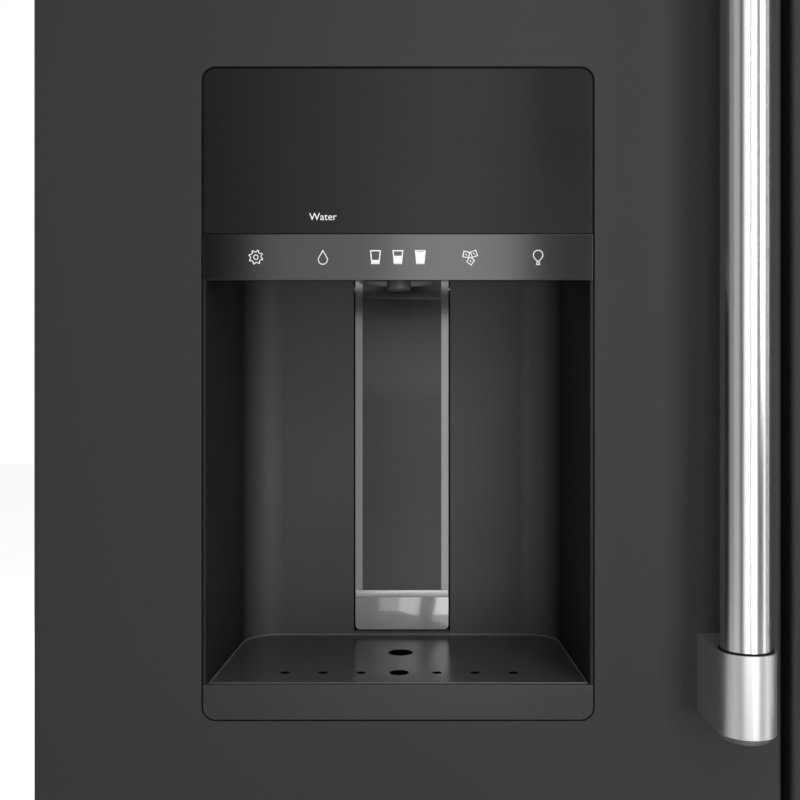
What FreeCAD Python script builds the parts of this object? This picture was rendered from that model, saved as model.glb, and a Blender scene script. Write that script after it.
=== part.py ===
import FreeCAD, Part
import math
import os
import Sketcher
from FreeCAD import Placement, Rotation, Vector

# French door refrigerator: two doors above one deep freezer drawer, with a water and ice dispenser in
# the left door. Millimetres. +Z is up, the front faces -Y, and the origin is on the floor under the
# middle of the whole object, handles included.

doc = FreeCAD.newDocument("FrenchDoorRefrigerator")
sheet = doc.addObject("Spreadsheet::Sheet", "Sizes")
rows = []
nodes = []


class Dim:
    """A length that keeps its number together with the spreadsheet expression that gives it."""

    def __init__(self, text, value):
        self.text = text
        self.value = value

    def __add__(self, other):
        other = dim(other)
        return Dim(f"({self.text} + {other.text})", self.value + other.value)

    def __sub__(self, other):
        other = dim(other)
        return Dim(f"({self.text} - {other.text})", self.value - other.value)

    def __mul__(self, other):
        other = dim(other)
        return Dim(f"({self.text} * {other.text})", self.value * other.value)

    def __truediv__(self, other):
        other = dim(other)
        return Dim(f"({self.text} / {other.text})", self.value / other.value)

    def __neg__(self):
        return Dim(f"(0 - {self.text})", -self.value)

    def __radd__(self, other):
        return dim(other) + self

    def __rsub__(self, other):
        return dim(other) - self

    def __rmul__(self, other):
        return dim(other) * self


def dim(number):
    """A plain number as a Dim, so that both kinds can be mixed in a formula."""
    return number if isinstance(number, Dim) else Dim(repr(number), number)


def size(alias, value, note):
    """Writes one driving dimension to the spreadsheet and returns it."""
    rows.append(alias)
    row = len(rows)
    sheet.set(f"A{row}", note)
    sheet.set(f"B{row}", str(value))
    sheet.setAlias(f"B{row}", alias)
    return Dim(f"Sizes.{alias}", value)


# ---------------------------------------------------------------- driving dimensions

# whole object
over_wide = size("over_wide", 908, "width over both doors")
over_tall = size("over_tall", 1775, "floor to the top of the hinge covers")
case_deep = size("case_deep", 750, "depth of the cabinet without the doors")
case_inset = size("case_inset", 3, "how far the cabinet's sides stand in from the doors' edges")
case_low = size("case_low", 45, "floor to the underside of the cabinet")
cover_tall = size("cover_tall", 30, "height of the hinge covers above the cabinet")
sheet_steel = size("sheet_steel", 1.2, "thickness of the painted steel sheet")
pan_thick = size("pan_thick", 2, "thickness of the base pan")
liner_wall = size("liner_wall", 2.5, "thickness of the moulded liners")
side_wall = size("side_wall", 50, "insulated thickness of the cabinet's sides")
top_wall = size("top_wall", 60, "insulated thickness of the cabinet's top")
back_wall = size("back_wall", 62, "insulated thickness of the cabinet's back")
sill_tall = size("sill_tall", 46, "from a door's edge to the opening behind it")

# doors and drawer front
door_thick = size("door_thick", 105, "thickness of a door")
seal_gap = size("seal_gap", 12, "gap between a door and the cabinet, filled by the gasket")
centre_gap = size("centre_gap", 6, "gap between the two doors")
drawer_low = size("drawer_low", 95, "floor to the drawer front")
drawer_tall = size("drawer_tall", 555, "height of the drawer front")
shelf_gap = size("shelf_gap", 8, "gap between the drawer front and the doors")
top_gap = size("top_gap", 3, "how far the doors end under the cabinet's top")
door_round = size("door_round", 3, "rounding of a door's front edges")
gasket_wide = size("gasket_wide", 14, "width of a gasket")
gasket_in = size("gasket_in", 24, "from a door's edge to its gasket")
gasket_mid = size("gasket_mid", 10, "the same along the middle gap")
gasket_slack = size("gasket_slack", 0.2, "clearance between a gasket and the cabinet")

# hinges
pin_in = size("pin_in", 22, "hinge axis from the door's outer edge")
pin_back = size("pin_back", 40, "hinge axis behind the door's front")
pin_dia = size("pin_dia", 12, "hinge pin diameter")
pin_long = size("pin_long", 32, "how far a hinge pin goes into its door")
pin_slack = size("pin_slack", 0.3, "radial clearance of the door around the pin")
leaf_thick = size("leaf_thick", 4, "thickness of a hinge plate")
leaf_wide = size("leaf_wide", 62, "width of a hinge plate")
leaf_in = size("leaf_in", 10, "hinge plate from the cabinet's side")
cover_wall = size("cover_wall", 5, "wall of a hinge cover")

# handles
bar_dia = size("bar_dia", 28.5, "diameter of a handle tube")
bar_out = size("bar_out", 40, "handle axis in front of the door")
bar_in = size("bar_in", 34.5, "handle axis from the door's free edge")
cap_over = size("cap_over", 2.2, "how far an end bracket stands out past the tube, on the radius")
cap_tall = size("cap_tall", 50, "height of an end bracket")
cap_seat = size("cap_seat", 14, "how deep the tube goes into its bracket")
cap_chamfer = size("cap_chamfer", 4, "chamfer round a bracket's outer end")
bar_long = size("bar_long", 750, "length of a door handle over its brackets")
bar_wall = size("bar_wall", 2, "wall of the handle tube")
drawer_bar_long = size("drawer_bar_long", 800, "length of the drawer handle over its brackets")
drawer_bar_down = size("drawer_bar_down", 62, "drawer handle axis below the drawer's top")

# dispenser
disp_in = size("disp_in", 101.5, "dispenser opening from the left door's outer edge")
disp_up = size("disp_up", 165, "dispenser opening above the door's bottom edge")
disp_wide = size("disp_wide", 236.8, "width of the dispenser opening")
disp_tall = size("disp_tall", 394.3, "height of the dispenser opening")
disp_round = size("disp_round", 8.5, "corner rounding of the dispenser opening")
disp_gap = size("disp_gap", 1.0, "shadow gap around the dispenser")
seal_wide = size("seal_wide", 5, "groove around the dispenser's front, kept free of foam for its seal")
seal_deep = size("seal_deep", 14, "depth of that groove behind the door's front")
fascia_tall = size("fascia_tall", 100, "height of the upper panel")
fascia_thick = size("fascia_thick", 6, "thickness of the upper panel and of the control strip")
strip_tall = size("strip_tall", 28, "height of the control strip")
seam = size("seam", 0.4, "seam between neighbouring panels")
recess_deep = size("recess_deep", 133, "depth of the recess behind the door's front")
recess_round = size("recess_round", 25, "rounding of the recess's back corners")
recess_taper = size("recess_taper", 3.2, "how far each side of the recess draws in towards the back")
tub_wall = size("tub_wall", 1.6, "wall of the recess at its front edge")
tub_back = size("tub_back", 3, "wall of the recess at its back")
roof_up = size("roof_up", 22, "recess's roof above the control strip's lower edge")
lip_tall = size("lip_tall", 21, "height of the drip tray's front")
lip_thick = size("lip_thick", 4, "thickness of the drip tray's front")
tray_floor = size("tray_floor", 4, "recess floor above the bottom of the dispenser")
tray_slack = size("tray_slack", 0.6, "clearance of the drip tray in the recess")
tray_wall = size("tray_wall", 2, "wall of the drip tray")
grille_thick = size("grille_thick", 2.5, "thickness of the drip tray's cover")
hole_small = size("hole_small", 6, "diameter of the small drain holes")
hole_middle = size("hole_middle", 12.5, "diameter of the middle drain hole")
hole_big = size("hole_big", 17, "diameter of the rear drain hole")
hole_pitch = size("hole_pitch", 24, "spacing of the drain holes")
hole_row = size("hole_row", 29, "row of drain holes behind the door's front")
hole_rear = size("hole_rear", 80, "rear drain hole behind the door's front")
paddle_wide = size("paddle_wide", 68, "width of the dispensing paddle")
paddle_thick = size("paddle_thick", 5, "thickness of the paddle")
paddle_proud = size("paddle_proud", 2, "paddle's face in front of the recess's back wall")
paddle_up = size("paddle_up", 3.6, "paddle's lower end above the drip tray")
paddle_slack = size("paddle_slack", 1.3, "gap around the paddle")
paddle_play = size("paddle_play", 14, "free depth behind the paddle")
paddle_rim = size("paddle_rim", 5.2, "frame around the paddle's window")
paddle_foot = size("paddle_foot", 29, "paddle below its window")
paddle_head = size("paddle_head", 14, "paddle above its window")
pane_thick = size("pane_thick", 2.5, "thickness of the paddle's window")
pane_slack = size("pane_slack", 0.1, "clearance of the window in its frame")
pane_sunk = size("pane_sunk", 0.6, "window behind the paddle's frame")
pivot_dia = size("pivot_dia", 6, "diameter of the paddle's pivots")
pivot_long = size("pivot_long", 6, "length of each of the paddle's pivots")
spout_dia = size("spout_dia", 15, "diameter of the water spout")
spout_back = size("spout_back", 22, "water spout behind the door's front")
spout_drop = size("spout_drop", 3.4, "water spout below the control strip")
chute_dia = size("chute_dia", 54, "outer diameter of the ice chute's ring")
chute_wall = size("chute_wall", 5, "wall of the ice chute")
gate_slack = size("gate_slack", 3, "gap between the ice chute and its gate")
chute_back = size("chute_back", 60, "ice chute behind the door's front")
chute_rise = size("chute_rise", 5.6, "ice chute's lower edge above the control strip's")
bulge_wall = size("bulge_wall", 32, "insulation behind the dispenser, cover included")

# inside
shelf_clear = size("shelf_clear", 45, "shelves behind the door bins")
shelf_step = size("shelf_step", 250, "spacing of the shelves")
shelf_thick = size("shelf_thick", 18, "height of a shelf's frame")
shelf_short = size("shelf_short", 60, "how much shorter the top shelves are")
rail_thick = size("rail_thick", 12, "shelf rails on the back wall")
crisper_tall = size("crisper_tall", 165, "height of a crisper")
crisper_side = size("crisper_side", 24, "crisper from the liner's side wall")
bin_deep = size("bin_deep", 95, "depth of a door bin")
bin_wall = size("bin_wall", 2.5, "wall of the bins, crispers and baskets")
bin_tall = size("bin_tall", 105, "height of the right door's bins")
bin_step = size("bin_step", 240, "spacing of the right door's bins")
flap_wide = size("flap_wide", 72, "width of the folding mullion")
flap_thick = size("flap_thick", 16, "thickness of the folding mullion")
machine_tall = size("machine_tall", 235, "height of the machine space")
machine_deep = size("machine_deep", 225, "depth of the machine space")
step_wall = size("step_wall", 30, "insulation between the machine space and the freezer")
compressor_dia = size("compressor_dia", 160, "diameter of the compressor")
compressor_tall = size("compressor_tall", 175, "height of the compressor")
fan_dia = size("fan_dia", 92, "diameter of the freezer's fan")
coil_room = size("coil_room", 90, "depth of the space behind the evaporator's cover")
coil_tall = size("coil_tall", 150, "height of the evaporator's cover")
roller_dia = size("roller_dia", 40, "diameter of a roller")
roller_wide = size("roller_wide", 24, "width of a roller")
axle_dia = size("axle_dia", 8, "diameter of a roller's axle")
axle_slack = size("axle_slack", 0.3, "radial clearance of the axle in its fork")
foot_dia = size("foot_dia", 38, "diameter of a levelling foot")
stud_dia = size("stud_dia", 10, "diameter of a levelling foot's stud")
foot_slack = size("foot_slack", 0.3, "radial clearance of the stud in its bracket")
toe_back = size("toe_back", 42, "toe grille behind the drawer's front")

# ---------------------------------------------------------------- places worked out from them

bar_r = bar_dia / 2
cap_r = bar_r + cap_over
half_wide = over_wide / 2
half_case = half_wide - case_inset
door_y = (bar_out + cap_r - door_thick - seal_gap - case_deep) / 2
door_back = door_y + door_thick
case_y = door_back + seal_gap
rear_y = case_y + case_deep
case_top = over_tall - cover_tall
drawer_top = drawer_low + drawer_tall
door_low = drawer_top + shelf_gap
door_top = case_top - top_gap
half_gap = centre_gap / 2
pan_top = case_low + pan_thick

fridge_floor = door_low + sill_tall
fridge_roof = case_top - top_wall
half_room = half_case - side_wall
freezer_floor = drawer_low + sill_tall
freezer_roof = drawer_top - sill_tall
room_front = case_y + sheet_steel
room_back = rear_y - back_wall

hinge_x = half_wide - pin_in
hinge_y = door_y + pin_back

left_x = -half_wide
tub_x0 = left_x + disp_in + disp_gap
tub_x1 = left_x + disp_in + disp_wide - disp_gap
tub_z0 = door_low + disp_up + disp_gap
tub_z1 = door_low + disp_up + disp_tall - disp_gap
tub_mid = (tub_x0 + tub_x1) / 2
tub_wide = tub_x1 - tub_x0
tub_round = disp_round - disp_gap
fascia_z = tub_z1 - fascia_tall
strip_z = fascia_z - strip_tall
roof_z = strip_z + roof_up
lip_z = tub_z0 + lip_tall
floor_z = tub_z0 + tray_floor
tub_rear = door_y + recess_deep + tub_back
paddle_y = door_y + recess_deep - paddle_proud
paddle_z = lip_z + paddle_up
paddle_top = roof_z - 6
pocket_rear = paddle_y + paddle_thick + paddle_play
bulge_y = pocket_rear + tub_back + bulge_wall
shelf_y = door_back + bin_deep + shelf_clear
step_y = rear_y - machine_deep - step_wall
step_z = case_low + machine_tall + step_wall
room_x = (-half_room, half_room)
liner_x = (-half_room - liner_wall, half_room + liner_wall)
liner_rear = room_back + liner_wall
freezer_top = freezer_roof + liner_wall
ice_floor = tub_z1 + 40
ice_roof = ice_floor + 300

# ---------------------------------------------------------------- how pieces are made


def bind(thing, name, value):
    """Ties a property to the spreadsheet."""
    thing.setExpression(name, dim(value).text)


def place(thing, x=0, y=0, z=0, turn=None):
    if turn:
        thing.Placement = Placement(Vector(), turn)
    for axis, value in zip("xyz", (x, y, z)):
        bind(thing, f"Placement.Base.{axis}", value)
    return thing


def block(name, x, y, z):
    """A box between two places along each axis."""
    made = doc.addObject("Part::Box", name)
    for prop, (low, high) in zip(("Length", "Width", "Height"), (x, y, z)):
        bind(made, prop, dim(high) - low)
    return place(made, x[0], y[0], z[0])


TURNS = {"X": Rotation(Vector(0, 1, 0), 90), "Y": Rotation(Vector(1, 0, 0), -90), "Z": Rotation()}


def rod(name, axis, x, y, z, radius, length):
    """A cylinder that starts at a point and runs along an axis."""
    made = doc.addObject("Part::Cylinder", name)
    bind(made, "Radius", radius)
    bind(made, "Height", length)
    return place(made, x, y, z, TURNS[axis])


def plus(name, *parts):
    made = doc.addObject("Part::MultiFuse", name)
    made.Shapes = list(parts)
    return made


def minus(name, base, *tools):
    made = doc.addObject("Part::Cut", name)
    made.Base = base
    made.Tool = tools[0] if len(tools) == 1 else plus(name + "_tools", *tools)
    return made


def group(name, *parts):
    """Separate solids that share one node."""
    made = doc.addObject("Part::Compound", name)
    made.Links = list(parts)
    return made


def open_box(name, x, y, z, wall, open_side):
    """A thin-walled box with one side missing: '+z', '+y' or '-y'."""
    inner = {}
    for axis, (low, high) in zip("xyz", (x, y, z)):
        low_wall = 0 if open_side == f"-{axis}" else wall
        high_wall = 0 if open_side == f"+{axis}" else wall
        spare_low = 1 if open_side == f"-{axis}" else 0
        spare_high = 1 if open_side == f"+{axis}" else 0
        inner[axis] = (dim(low) + low_wall - spare_low, dim(high) - high_wall + spare_high)
    outer = block(name + "_outer", x, y, z)
    return minus(name, outer, block(name + "_inner", inner["x"], inner["y"], inner["z"]))


def node(label, thing):
    """Marks a finished sub-part, which is written to parts/LABEL.step."""
    thing.Label = label
    nodes.append(thing)
    return thing


def runs(axis, **near):
    """A test for straight edges along an axis, with their middle near the given coordinates."""

    def test(edge):
        if not isinstance(edge.Curve, Part.Line):
            return False
        way = edge.Curve.Direction
        if abs(abs(getattr(way, axis)) - 1) > 1e-6:
            return False
        middle = edge.CenterOfMass
        return all(abs(getattr(middle, k) - dim(v).value) < 0.02 for k, v in near.items())

    return test


class Body:
    """A PartDesign body with sketches whose constraints are tied to the spreadsheet."""

    def __init__(self, name, x=0, y=0, z=0):
        self.body = doc.addObject("PartDesign::Body", name)
        self.name = name
        place(self.body, x, y, z)

    def sketch(self, plane, offset=0):
        made = self.body.newObject("Sketcher::SketchObject", self.name + "_sketch")
        role = [f for f in self.body.Origin.OriginFeatures if f.Role == plane + "_Plane"][0]
        made.AttachmentSupport = [(role, "")]
        made.MapMode = "FlatFace"
        if dim(offset).text != "0":
            bind(made, "AttachmentOffset.Base.z", offset)
        return made

    def fix(self, sketch, kind, *refs):
        """Adds a driving constraint. The last of refs is its size."""
        size_of = dim(refs[-1])
        index = sketch.addConstraint(Sketcher.Constraint(kind, *refs[:-1], size_of.value))
        sketch.renameConstraint(index, f"c{index}")
        bind(sketch, f"Constraints.c{index}", size_of)

    def outline(self, plane, points, offset=0):
        """A closed polygon through points, each held by its two coordinates."""
        made = self.sketch(plane, offset)
        spots = [Vector(dim(x).value, dim(y).value, 0) for x, y in points]
        count = len(points)
        for i in range(count):
            made.addGeometry(Part.LineSegment(spots[i], spots[(i + 1) % count]), False)
        for i in range(count):
            made.addConstraint(Sketcher.Constraint("Coincident", i, 2, (i + 1) % count, 1))
        for i, (x, y) in enumerate(points):
            self.fix(made, "DistanceX", -1, 1, i, 1, x)
            self.fix(made, "DistanceY", -1, 1, i, 1, y)
        return made

    def rect(self, plane, x, y, offset=0):
        return self.outline(plane, [(x[0], y[0]), (x[1], y[0]), (x[1], y[1]), (x[0], y[1])], offset)

    def circle(self, plane, x, y, diameter, offset=0):
        made = self.sketch(plane, offset)
        self.add_circle(made, x, y, diameter)
        return made

    def add_circle(self, sketch, x, y, diameter):
        centre = Vector(dim(x).value, dim(y).value, 0)
        index = sketch.addGeometry(Part.Circle(centre, Vector(0, 0, 1), dim(diameter).value / 2), False)
        self.fix(sketch, "DistanceX", -1, 1, index, 3, x)
        self.fix(sketch, "DistanceY", -1, 1, index, 3, y)
        self.fix(sketch, "Radius", index, dim(diameter) / 2)

    def feature(self, kind, sketch, length, flip):
        made = self.body.newObject("PartDesign::" + kind, self.name + "_" + kind.lower())
        made.Profile = sketch
        bind(made, "Length", length)
        made.Reversed = flip
        self.last = made
        return made

    def pad(self, sketch, length, flip=False):
        return self.feature("Pad", sketch, length, flip)

    def pocket(self, sketch, length, flip=False):
        return self.feature("Pocket", sketch, length, flip)

    def edges(self, test):
        doc.recompute()
        shape = self.last.Shape
        return [f"Edge{i + 1}" for i, e in enumerate(shape.Edges) if test(e)]

    def soften(self, kind, amount, *tests):
        """A fillet or a chamfer on the edges that pass any of the tests."""
        found = self.edges(lambda e: any(t(e) for t in tests))
        if not found:
            raise ValueError(f"{self.name}: no edge to soften")
        made = self.body.newObject("PartDesign::" + kind, self.name + "_" + kind.lower())
        made.Base = (self.last, found)
        bind(made, "Radius" if kind == "Fillet" else "Size", amount)
        self.last = made
        return made

    def revolve(self, sketch):
        """Turns a sketch on the XZ plane about the body's Z axis."""
        made = self.body.newObject("PartDesign::Revolution", self.name + "_revolution")
        made.Profile = sketch
        axis = [f for f in self.body.Origin.OriginFeatures if f.Role == "Z_Axis"][0]
        made.ReferenceAxis = (axis, [""])
        made.Angle = 360
        self.last = made
        return made

    def repeat(self, feature, axis, spacing, count):
        """A row of a feature along an origin axis."""
        made = self.body.newObject("PartDesign::LinearPattern", self.name + "_row")
        made.Originals = [feature]
        line = [f for f in self.body.Origin.OriginFeatures if f.Role == axis + "_Axis"][0]
        made.Direction = (line, [""])
        bind(made, "Length", dim(spacing) * (count - 1))
        made.Occurrences = count
        self.body.Tip = made
        self.last = made
        return made

    def round_row(self, feature, count):
        """A ring of a feature about the body's Z axis."""
        made = self.body.newObject("PartDesign::PolarPattern", self.name + "_ring")
        made.Originals = [feature]
        line = [f for f in self.body.Origin.OriginFeatures if f.Role == "Z_Axis"][0]
        made.Axis = (line, [""])
        made.Angle = 360
        made.Occurrences = count
        self.body.Tip = made
        self.last = made
        return made

    def done(self, label):
        return node(label, self.body)


# ---------------------------------------------------------------- cabinet


def build_outer_case():
    """Painted sheet wrapped over the top and down both sides, with the flange that the gaskets meet."""
    wrap = minus(
        "case_wrap",
        block("case_block", (-half_case, half_case), (case_y, rear_y - sheet_steel), (case_low, case_top)),
        block(
            "case_space",
            (-half_case + sheet_steel, half_case - sheet_steel),
            (case_y - 1, rear_y),
            (case_low - 1, case_top - sheet_steel),
        ),
    )
    flange = minus(
        "case_flange",
        block("flange_plate", (-half_case, half_case), (case_y, room_front), (case_low, case_top)),
        block("fridge_way", room_x, (case_y - 1, room_front + 1), (fridge_floor, fridge_roof)),
        block("freezer_way", room_x, (case_y - 1, room_front + 1), (freezer_floor, freezer_roof)),
    )
    node("outer_case", plus("outer_case", wrap, flange))


def build_liners():
    """The two moulded rooms, each open at the front. The freezer steps over the machine space."""
    fridge = minus(
        "fridge_shell",
        fridge_block("fridge_out"),
        block("fridge_in", room_x, (room_front - 1, room_back), (fridge_floor, fridge_roof)),
    )
    node("fridge_liner", fridge)
    inner = plus(
        "freezer_in",
        block("freezer_in_low", room_x, (room_front - 1, step_y - liner_wall), (freezer_floor, freezer_roof)),
        block("freezer_in_top", room_x, (step_y - step_wall, room_back), (step_z + liner_wall, freezer_roof)),
    )
    node("freezer_liner", minus("freezer_shell", freezer_block("freezer_out"), inner))


def fridge_block(name):
    """The fridge liner's outside, as one block."""
    z = (fridge_floor - liner_wall, fridge_roof + liner_wall)
    return block(name, liner_x, (room_front, liner_rear), z)


def freezer_block(name):
    """The freezer liner's outside: a deep upper part on a shallower lower one."""
    low = block(name + "_low", liner_x, (room_front, step_y), (freezer_floor - liner_wall, freezer_top))
    high = block(name + "_high", liner_x, (step_y - step_wall, liner_rear), (step_z, freezer_top))
    return plus(name, low, high)


def build_case_foam():
    """Foam between the sheet and the liners."""
    inside = half_case - sheet_steel
    fill_z = (pan_top, case_top - sheet_steel)
    fill = block("foam_block", (-inside, inside), (room_front, rear_y - sheet_steel), fill_z)
    machine_y = (rear_y - machine_deep, rear_y)
    machine = block("foam_machine", (-half_case, half_case), machine_y, (case_low, case_low + machine_tall))
    rooms = (fridge_block("foam_fridge"), freezer_block("foam_freezer"))
    node("case_foam", minus("foam_shell", fill, *rooms, machine))


def build_back():
    """The steel back and, under it, the vented cover of the machine space."""
    machine_top = case_low + machine_tall
    node(
        "back_panel",
        block(
            "back_panel",
            (-half_case + 1, half_case - 1),
            (rear_y - sheet_steel, rear_y),
            (machine_top + seam, case_top - 1),
        ),
    )
    cover = Body("machine_cover", -half_case + 2, rear_y - sheet_steel, case_low + 3)
    cover_wide = half_case * 2 - 4
    slot_in = 60
    slot_long = 200
    slot_z = (50, 56)
    slot_pitch = 14
    cover.pad(cover.rect("XZ", (0, cover_wide), (0, machine_tall - 3)), sheet_steel, flip=True)
    for low_x in (slot_in, cover_wide - slot_in - slot_long):
        slot = cover.pocket(cover.rect("XZ", (low_x, dim(low_x) + slot_long), slot_z), sheet_steel + 1)
        cover.repeat(slot, "Z", slot_pitch, 11)
    cover.done("machine_cover")


def build_base():
    """Bottom pan with brackets for the levelling feet and forks for the rollers."""
    inside = half_case - sheet_steel
    parts = [block("base_pan", (-inside, inside), (room_front, rear_y - sheet_steel), (case_low, pan_top))]
    holes = []
    bracket_half = 24
    bracket_tall = 16
    ear_half = 13
    ear_thick = 3
    ear_low = 10
    for side in (-1, 1):
        x = side * foot_x
        bracket_x = (x - bracket_half, x + bracket_half)
        bracket_y = (foot_y - bracket_half, foot_y + bracket_half)
        parts.append(block("foot_bracket", bracket_x, bracket_y, (case_low - bracket_tall, case_low)))
        start = case_low - bracket_tall - 4
        holes.append(rod("foot_hole", "Z", x, foot_y, start, stud_dia / 2 + foot_slack, bracket_half * 2))
        for ear in (-1, 1):
            near = side * roller_x + ear * (roller_wide / 2 + 1)
            far = near + ear * ear_thick
            ear_x = (near, far) if ear > 0 else (far, near)
            ear_y = (roller_y - ear_half, roller_y + ear_half)
            parts.append(block("roller_ear", ear_x, ear_y, (ear_low, case_low)))
        start = side * roller_x - roller_wide
        bore = axle_dia / 2 + axle_slack
        holes.append(rod("axle_hole", "X", start, roller_y, roller_dia / 2, bore, roller_wide * 2))
    node("base_frame", minus("base_drilled", plus("base_solid", *parts), *holes))


foot_x = half_case - 55
foot_y = case_y + 40
roller_x = half_case - 60
roller_y = rear_y - 70


def build_feet_and_rollers():
    """Each levelling foot is a disc on a threaded stud. The back stands on two rollers."""
    for side, name in ((-1, "left"), (1, "right")):
        foot = Body(name + "_foot", side * foot_x, foot_y, 0)
        rim = foot_dia / 2
        stud = stud_dia / 2
        stud_top = case_low + 1.5
        disc = [(0, 0), (rim - 2, 0), (rim, 2), (rim, 8), (stud + 3, 12)]
        foot.revolve(foot.outline("XZ", disc + [(stud, 12), (stud, stud_top), (0, stud_top)]))
        foot.done(name + "_levelling_foot")
        wheel = Body(name + "_roller", side * roller_x, roller_y, roller_dia / 2)
        wheel.pad(wheel.circle("YZ", 0, 0, roller_dia, -roller_wide / 2), roller_wide)
        wheel.soften("Chamfer", 1.5, lambda e: isinstance(e.Curve, Part.Circle))
        wheel.pad(wheel.circle("YZ", 0, 0, axle_dia, -roller_wide / 2 - 5), roller_wide + 10)
        wheel.done(name + "_rear_roller")


def build_toe_grille():
    """Slotted plate under the drawer, with an arm at each end back to the cabinet."""
    low = dim(20)
    high = drawer_low - 7
    back = case_y - door_y - toe_back
    inset = 12
    plate = 3
    arm = 8
    arm_root = 14
    slot_in = 40
    slot_z = (16, 20)
    wide = half_case * 2 - inset * 2
    grille = Body("toe_grille", -half_case + inset, door_y + toe_back, low)
    grille.pad(grille.rect("XZ", (0, wide), (0, high - low)), back, flip=True)
    grille.pocket(grille.rect("XY", (arm, wide - arm), (plate, back + 1), -1), high - low + 2, flip=True)
    for low_x in (0, wide - arm):
        side = (low_x - 1, dim(low_x) + arm + 1)
        grille.pocket(grille.rect("XZ", side, (-1, case_low - low + 3), -arm_root), back)
    slot = grille.pocket(grille.rect("XZ", (slot_in, wide - slot_in), slot_z), plate + 1)
    grille.repeat(slot, "Z", 10, 4)
    grille.done("toe_grille")


def build_machine():
    """Compressor and condenser in the machine space, evaporator and its fan behind the freezer."""
    comp = Body("compressor", 190, rear_y - machine_deep / 2, pan_top)
    r = compressor_dia / 2
    tall = compressor_tall
    base = [(0, 0), (r + 10, 0), (r + 10, 10), (r - 6, 16)]
    dome = [(r, 66), (r, tall - 50), (r - 20, tall - 14), (0, tall)]
    comp.revolve(comp.outline("XZ", base + dome))
    comp.done("compressor")
    corner = (-330, rear_y - machine_deep + 40, pan_top)
    fin_coil("condenser", corner, (150, 170), 15, 18, (35, 115), (30, 85, 140))
    corner = (-340, room_back - 55, freezer_roof - 130)
    fin_coil("evaporator", corner, (55, 110), 25, 25, (27,), (30, 80))
    front = room_back - coil_room
    cover_z = (freezer_roof - coil_tall, freezer_roof)
    cover = open_box("coil_cover", room_x, (front, room_back), cover_z, liner_wall, "+y")
    vent_wide = 90
    vent_z = (freezer_roof - 60, freezer_roof - 40)
    vent_y = (front - 5, front + 10)
    vents = [block("vent", (low, dim(low) + vent_wide), vent_y, vent_z) for low in (-300, -170, -40, 90)]
    node("evaporator_cover", minus("coil_cover_vented", cover, *vents))


def fin_coil(name, corner, fin_size, pitch, count, pipes_y, pipes_z):
    """A row of sheet fins threaded on straight pipes that run along X."""
    fin_thick = 2
    pipe_dia = 9
    coil = Body(name, *corner)
    fin = coil.pad(coil.rect("YZ", (0, fin_size[0]), (0, fin_size[1])), fin_thick)
    coil.repeat(fin, "X", pitch, count)
    for up in pipes_z:
        for back in pipes_y:
            coil.pad(coil.circle("YZ", back, up, pipe_dia), pitch * (count - 1) + fin_thick)
    coil.done(name)


def build_fan():
    """Fan that blows the cold air out. It turns about an axle along Y behind the cover."""
    fan = Body("evaporator_fan")
    place(fan.body, fan_x, fan_y, fan_z, Rotation(Vector(1, 0, 0), 90))
    fan.pad(fan.circle("XY", 0, 0, 26), 18)
    tip = fan_dia / 2
    blade = fan.pad(fan.outline("XY", [(0, -5), (tip - 2, -12), (tip - 1, 8), (0, 5)], 5), 4)
    fan.round_row(blade, 5)
    fan.done("evaporator_fan")


fan_x = half_room - 66
fan_y = room_back - coil_room / 2 + 5
fan_z = freezer_roof - coil_tall / 2


def build_shelves():
    """Toughened glass panes in plastic frames, hung from ladder rails on the back wall."""
    panes = []
    frames = []
    rear = room_back - rail_thick
    halves = [(-half_room + 6, dim(-6)), (dim(6), half_room - 6)]
    seat_in = 8
    rim_wide = 14
    seat_low = 6
    for level in range(3):
        top = crisper_roof + shelf_step * level
        front = shelf_y + (shelf_short if level == 2 else 0)
        for low_x, high_x in halves if level else [room_x]:
            seat_x = (low_x + seat_in, high_x - seat_in)
            seat_y = (front + seat_in + 2, rear - seat_in - 2)
            panes.append(block("pane", seat_x, seat_y, (top - seat_low, top - 2)))
            rim = block("rim", (low_x, high_x), (front, rear), (top - shelf_thick, top))
            clear_x = (low_x + rim_wide, high_x - rim_wide)
            clear_y = (front + rim_wide + 2, rear - rim_wide - 2)
            clear = block("rim_open", clear_x, clear_y, (top - shelf_thick - 1, top + 1))
            seat = block("rim_seat", seat_x, seat_y, (top - seat_low, top + 1))
            frames.append(minus("shelf_rim", rim, clear, seat))
    rail_wide = 12
    for x in (-half_room + 40, dim(-30), dim(18), half_room - 52):
        rail_z = (crisper_roof + 20, fridge_roof - 30)
        frames.append(block("rail", (x, x + rail_wide), (rear, room_back), rail_z))
    node("shelf_glass", group("shelf_panes", *panes))
    node("shelf_frames", group("shelf_rims", *frames))


crisper_roof = fridge_floor + crisper_tall + 40


def build_crispers():
    """Two moulded drawers with a thick front and a finger lip, under the lowest shelf."""
    low = fridge_floor + 0.5
    tub_front = shelf_y + 4
    front_thick = 14
    grip_in = 60
    spans = {"left": (-half_room + crisper_side, dim(-9)), "right": (dim(9), half_room - crisper_side)}
    for name, x in spans.items():
        tub_z = (low, low + crisper_tall - 8)
        tub = open_box(name + "_bin", x, (tub_front, room_back - 60), tub_z, bin_wall, "+z")
        front_y = (tub_front - front_thick, tub_front + bin_wall)
        front = block(name + "_front", x, front_y, (low, low + crisper_tall))
        grip_z = (low + crisper_tall - 36, low + crisper_tall - 12)
        grip_y = (tub_front - front_thick - 1, tub_front - 4)
        grip = block(name + "_grip", (x[0] + grip_in, x[1] - grip_in), grip_y, grip_z)
        node(name + "_crisper", minus(name + "_crisper_cut", plus(name + "_shell", tub, front), grip))


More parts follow.
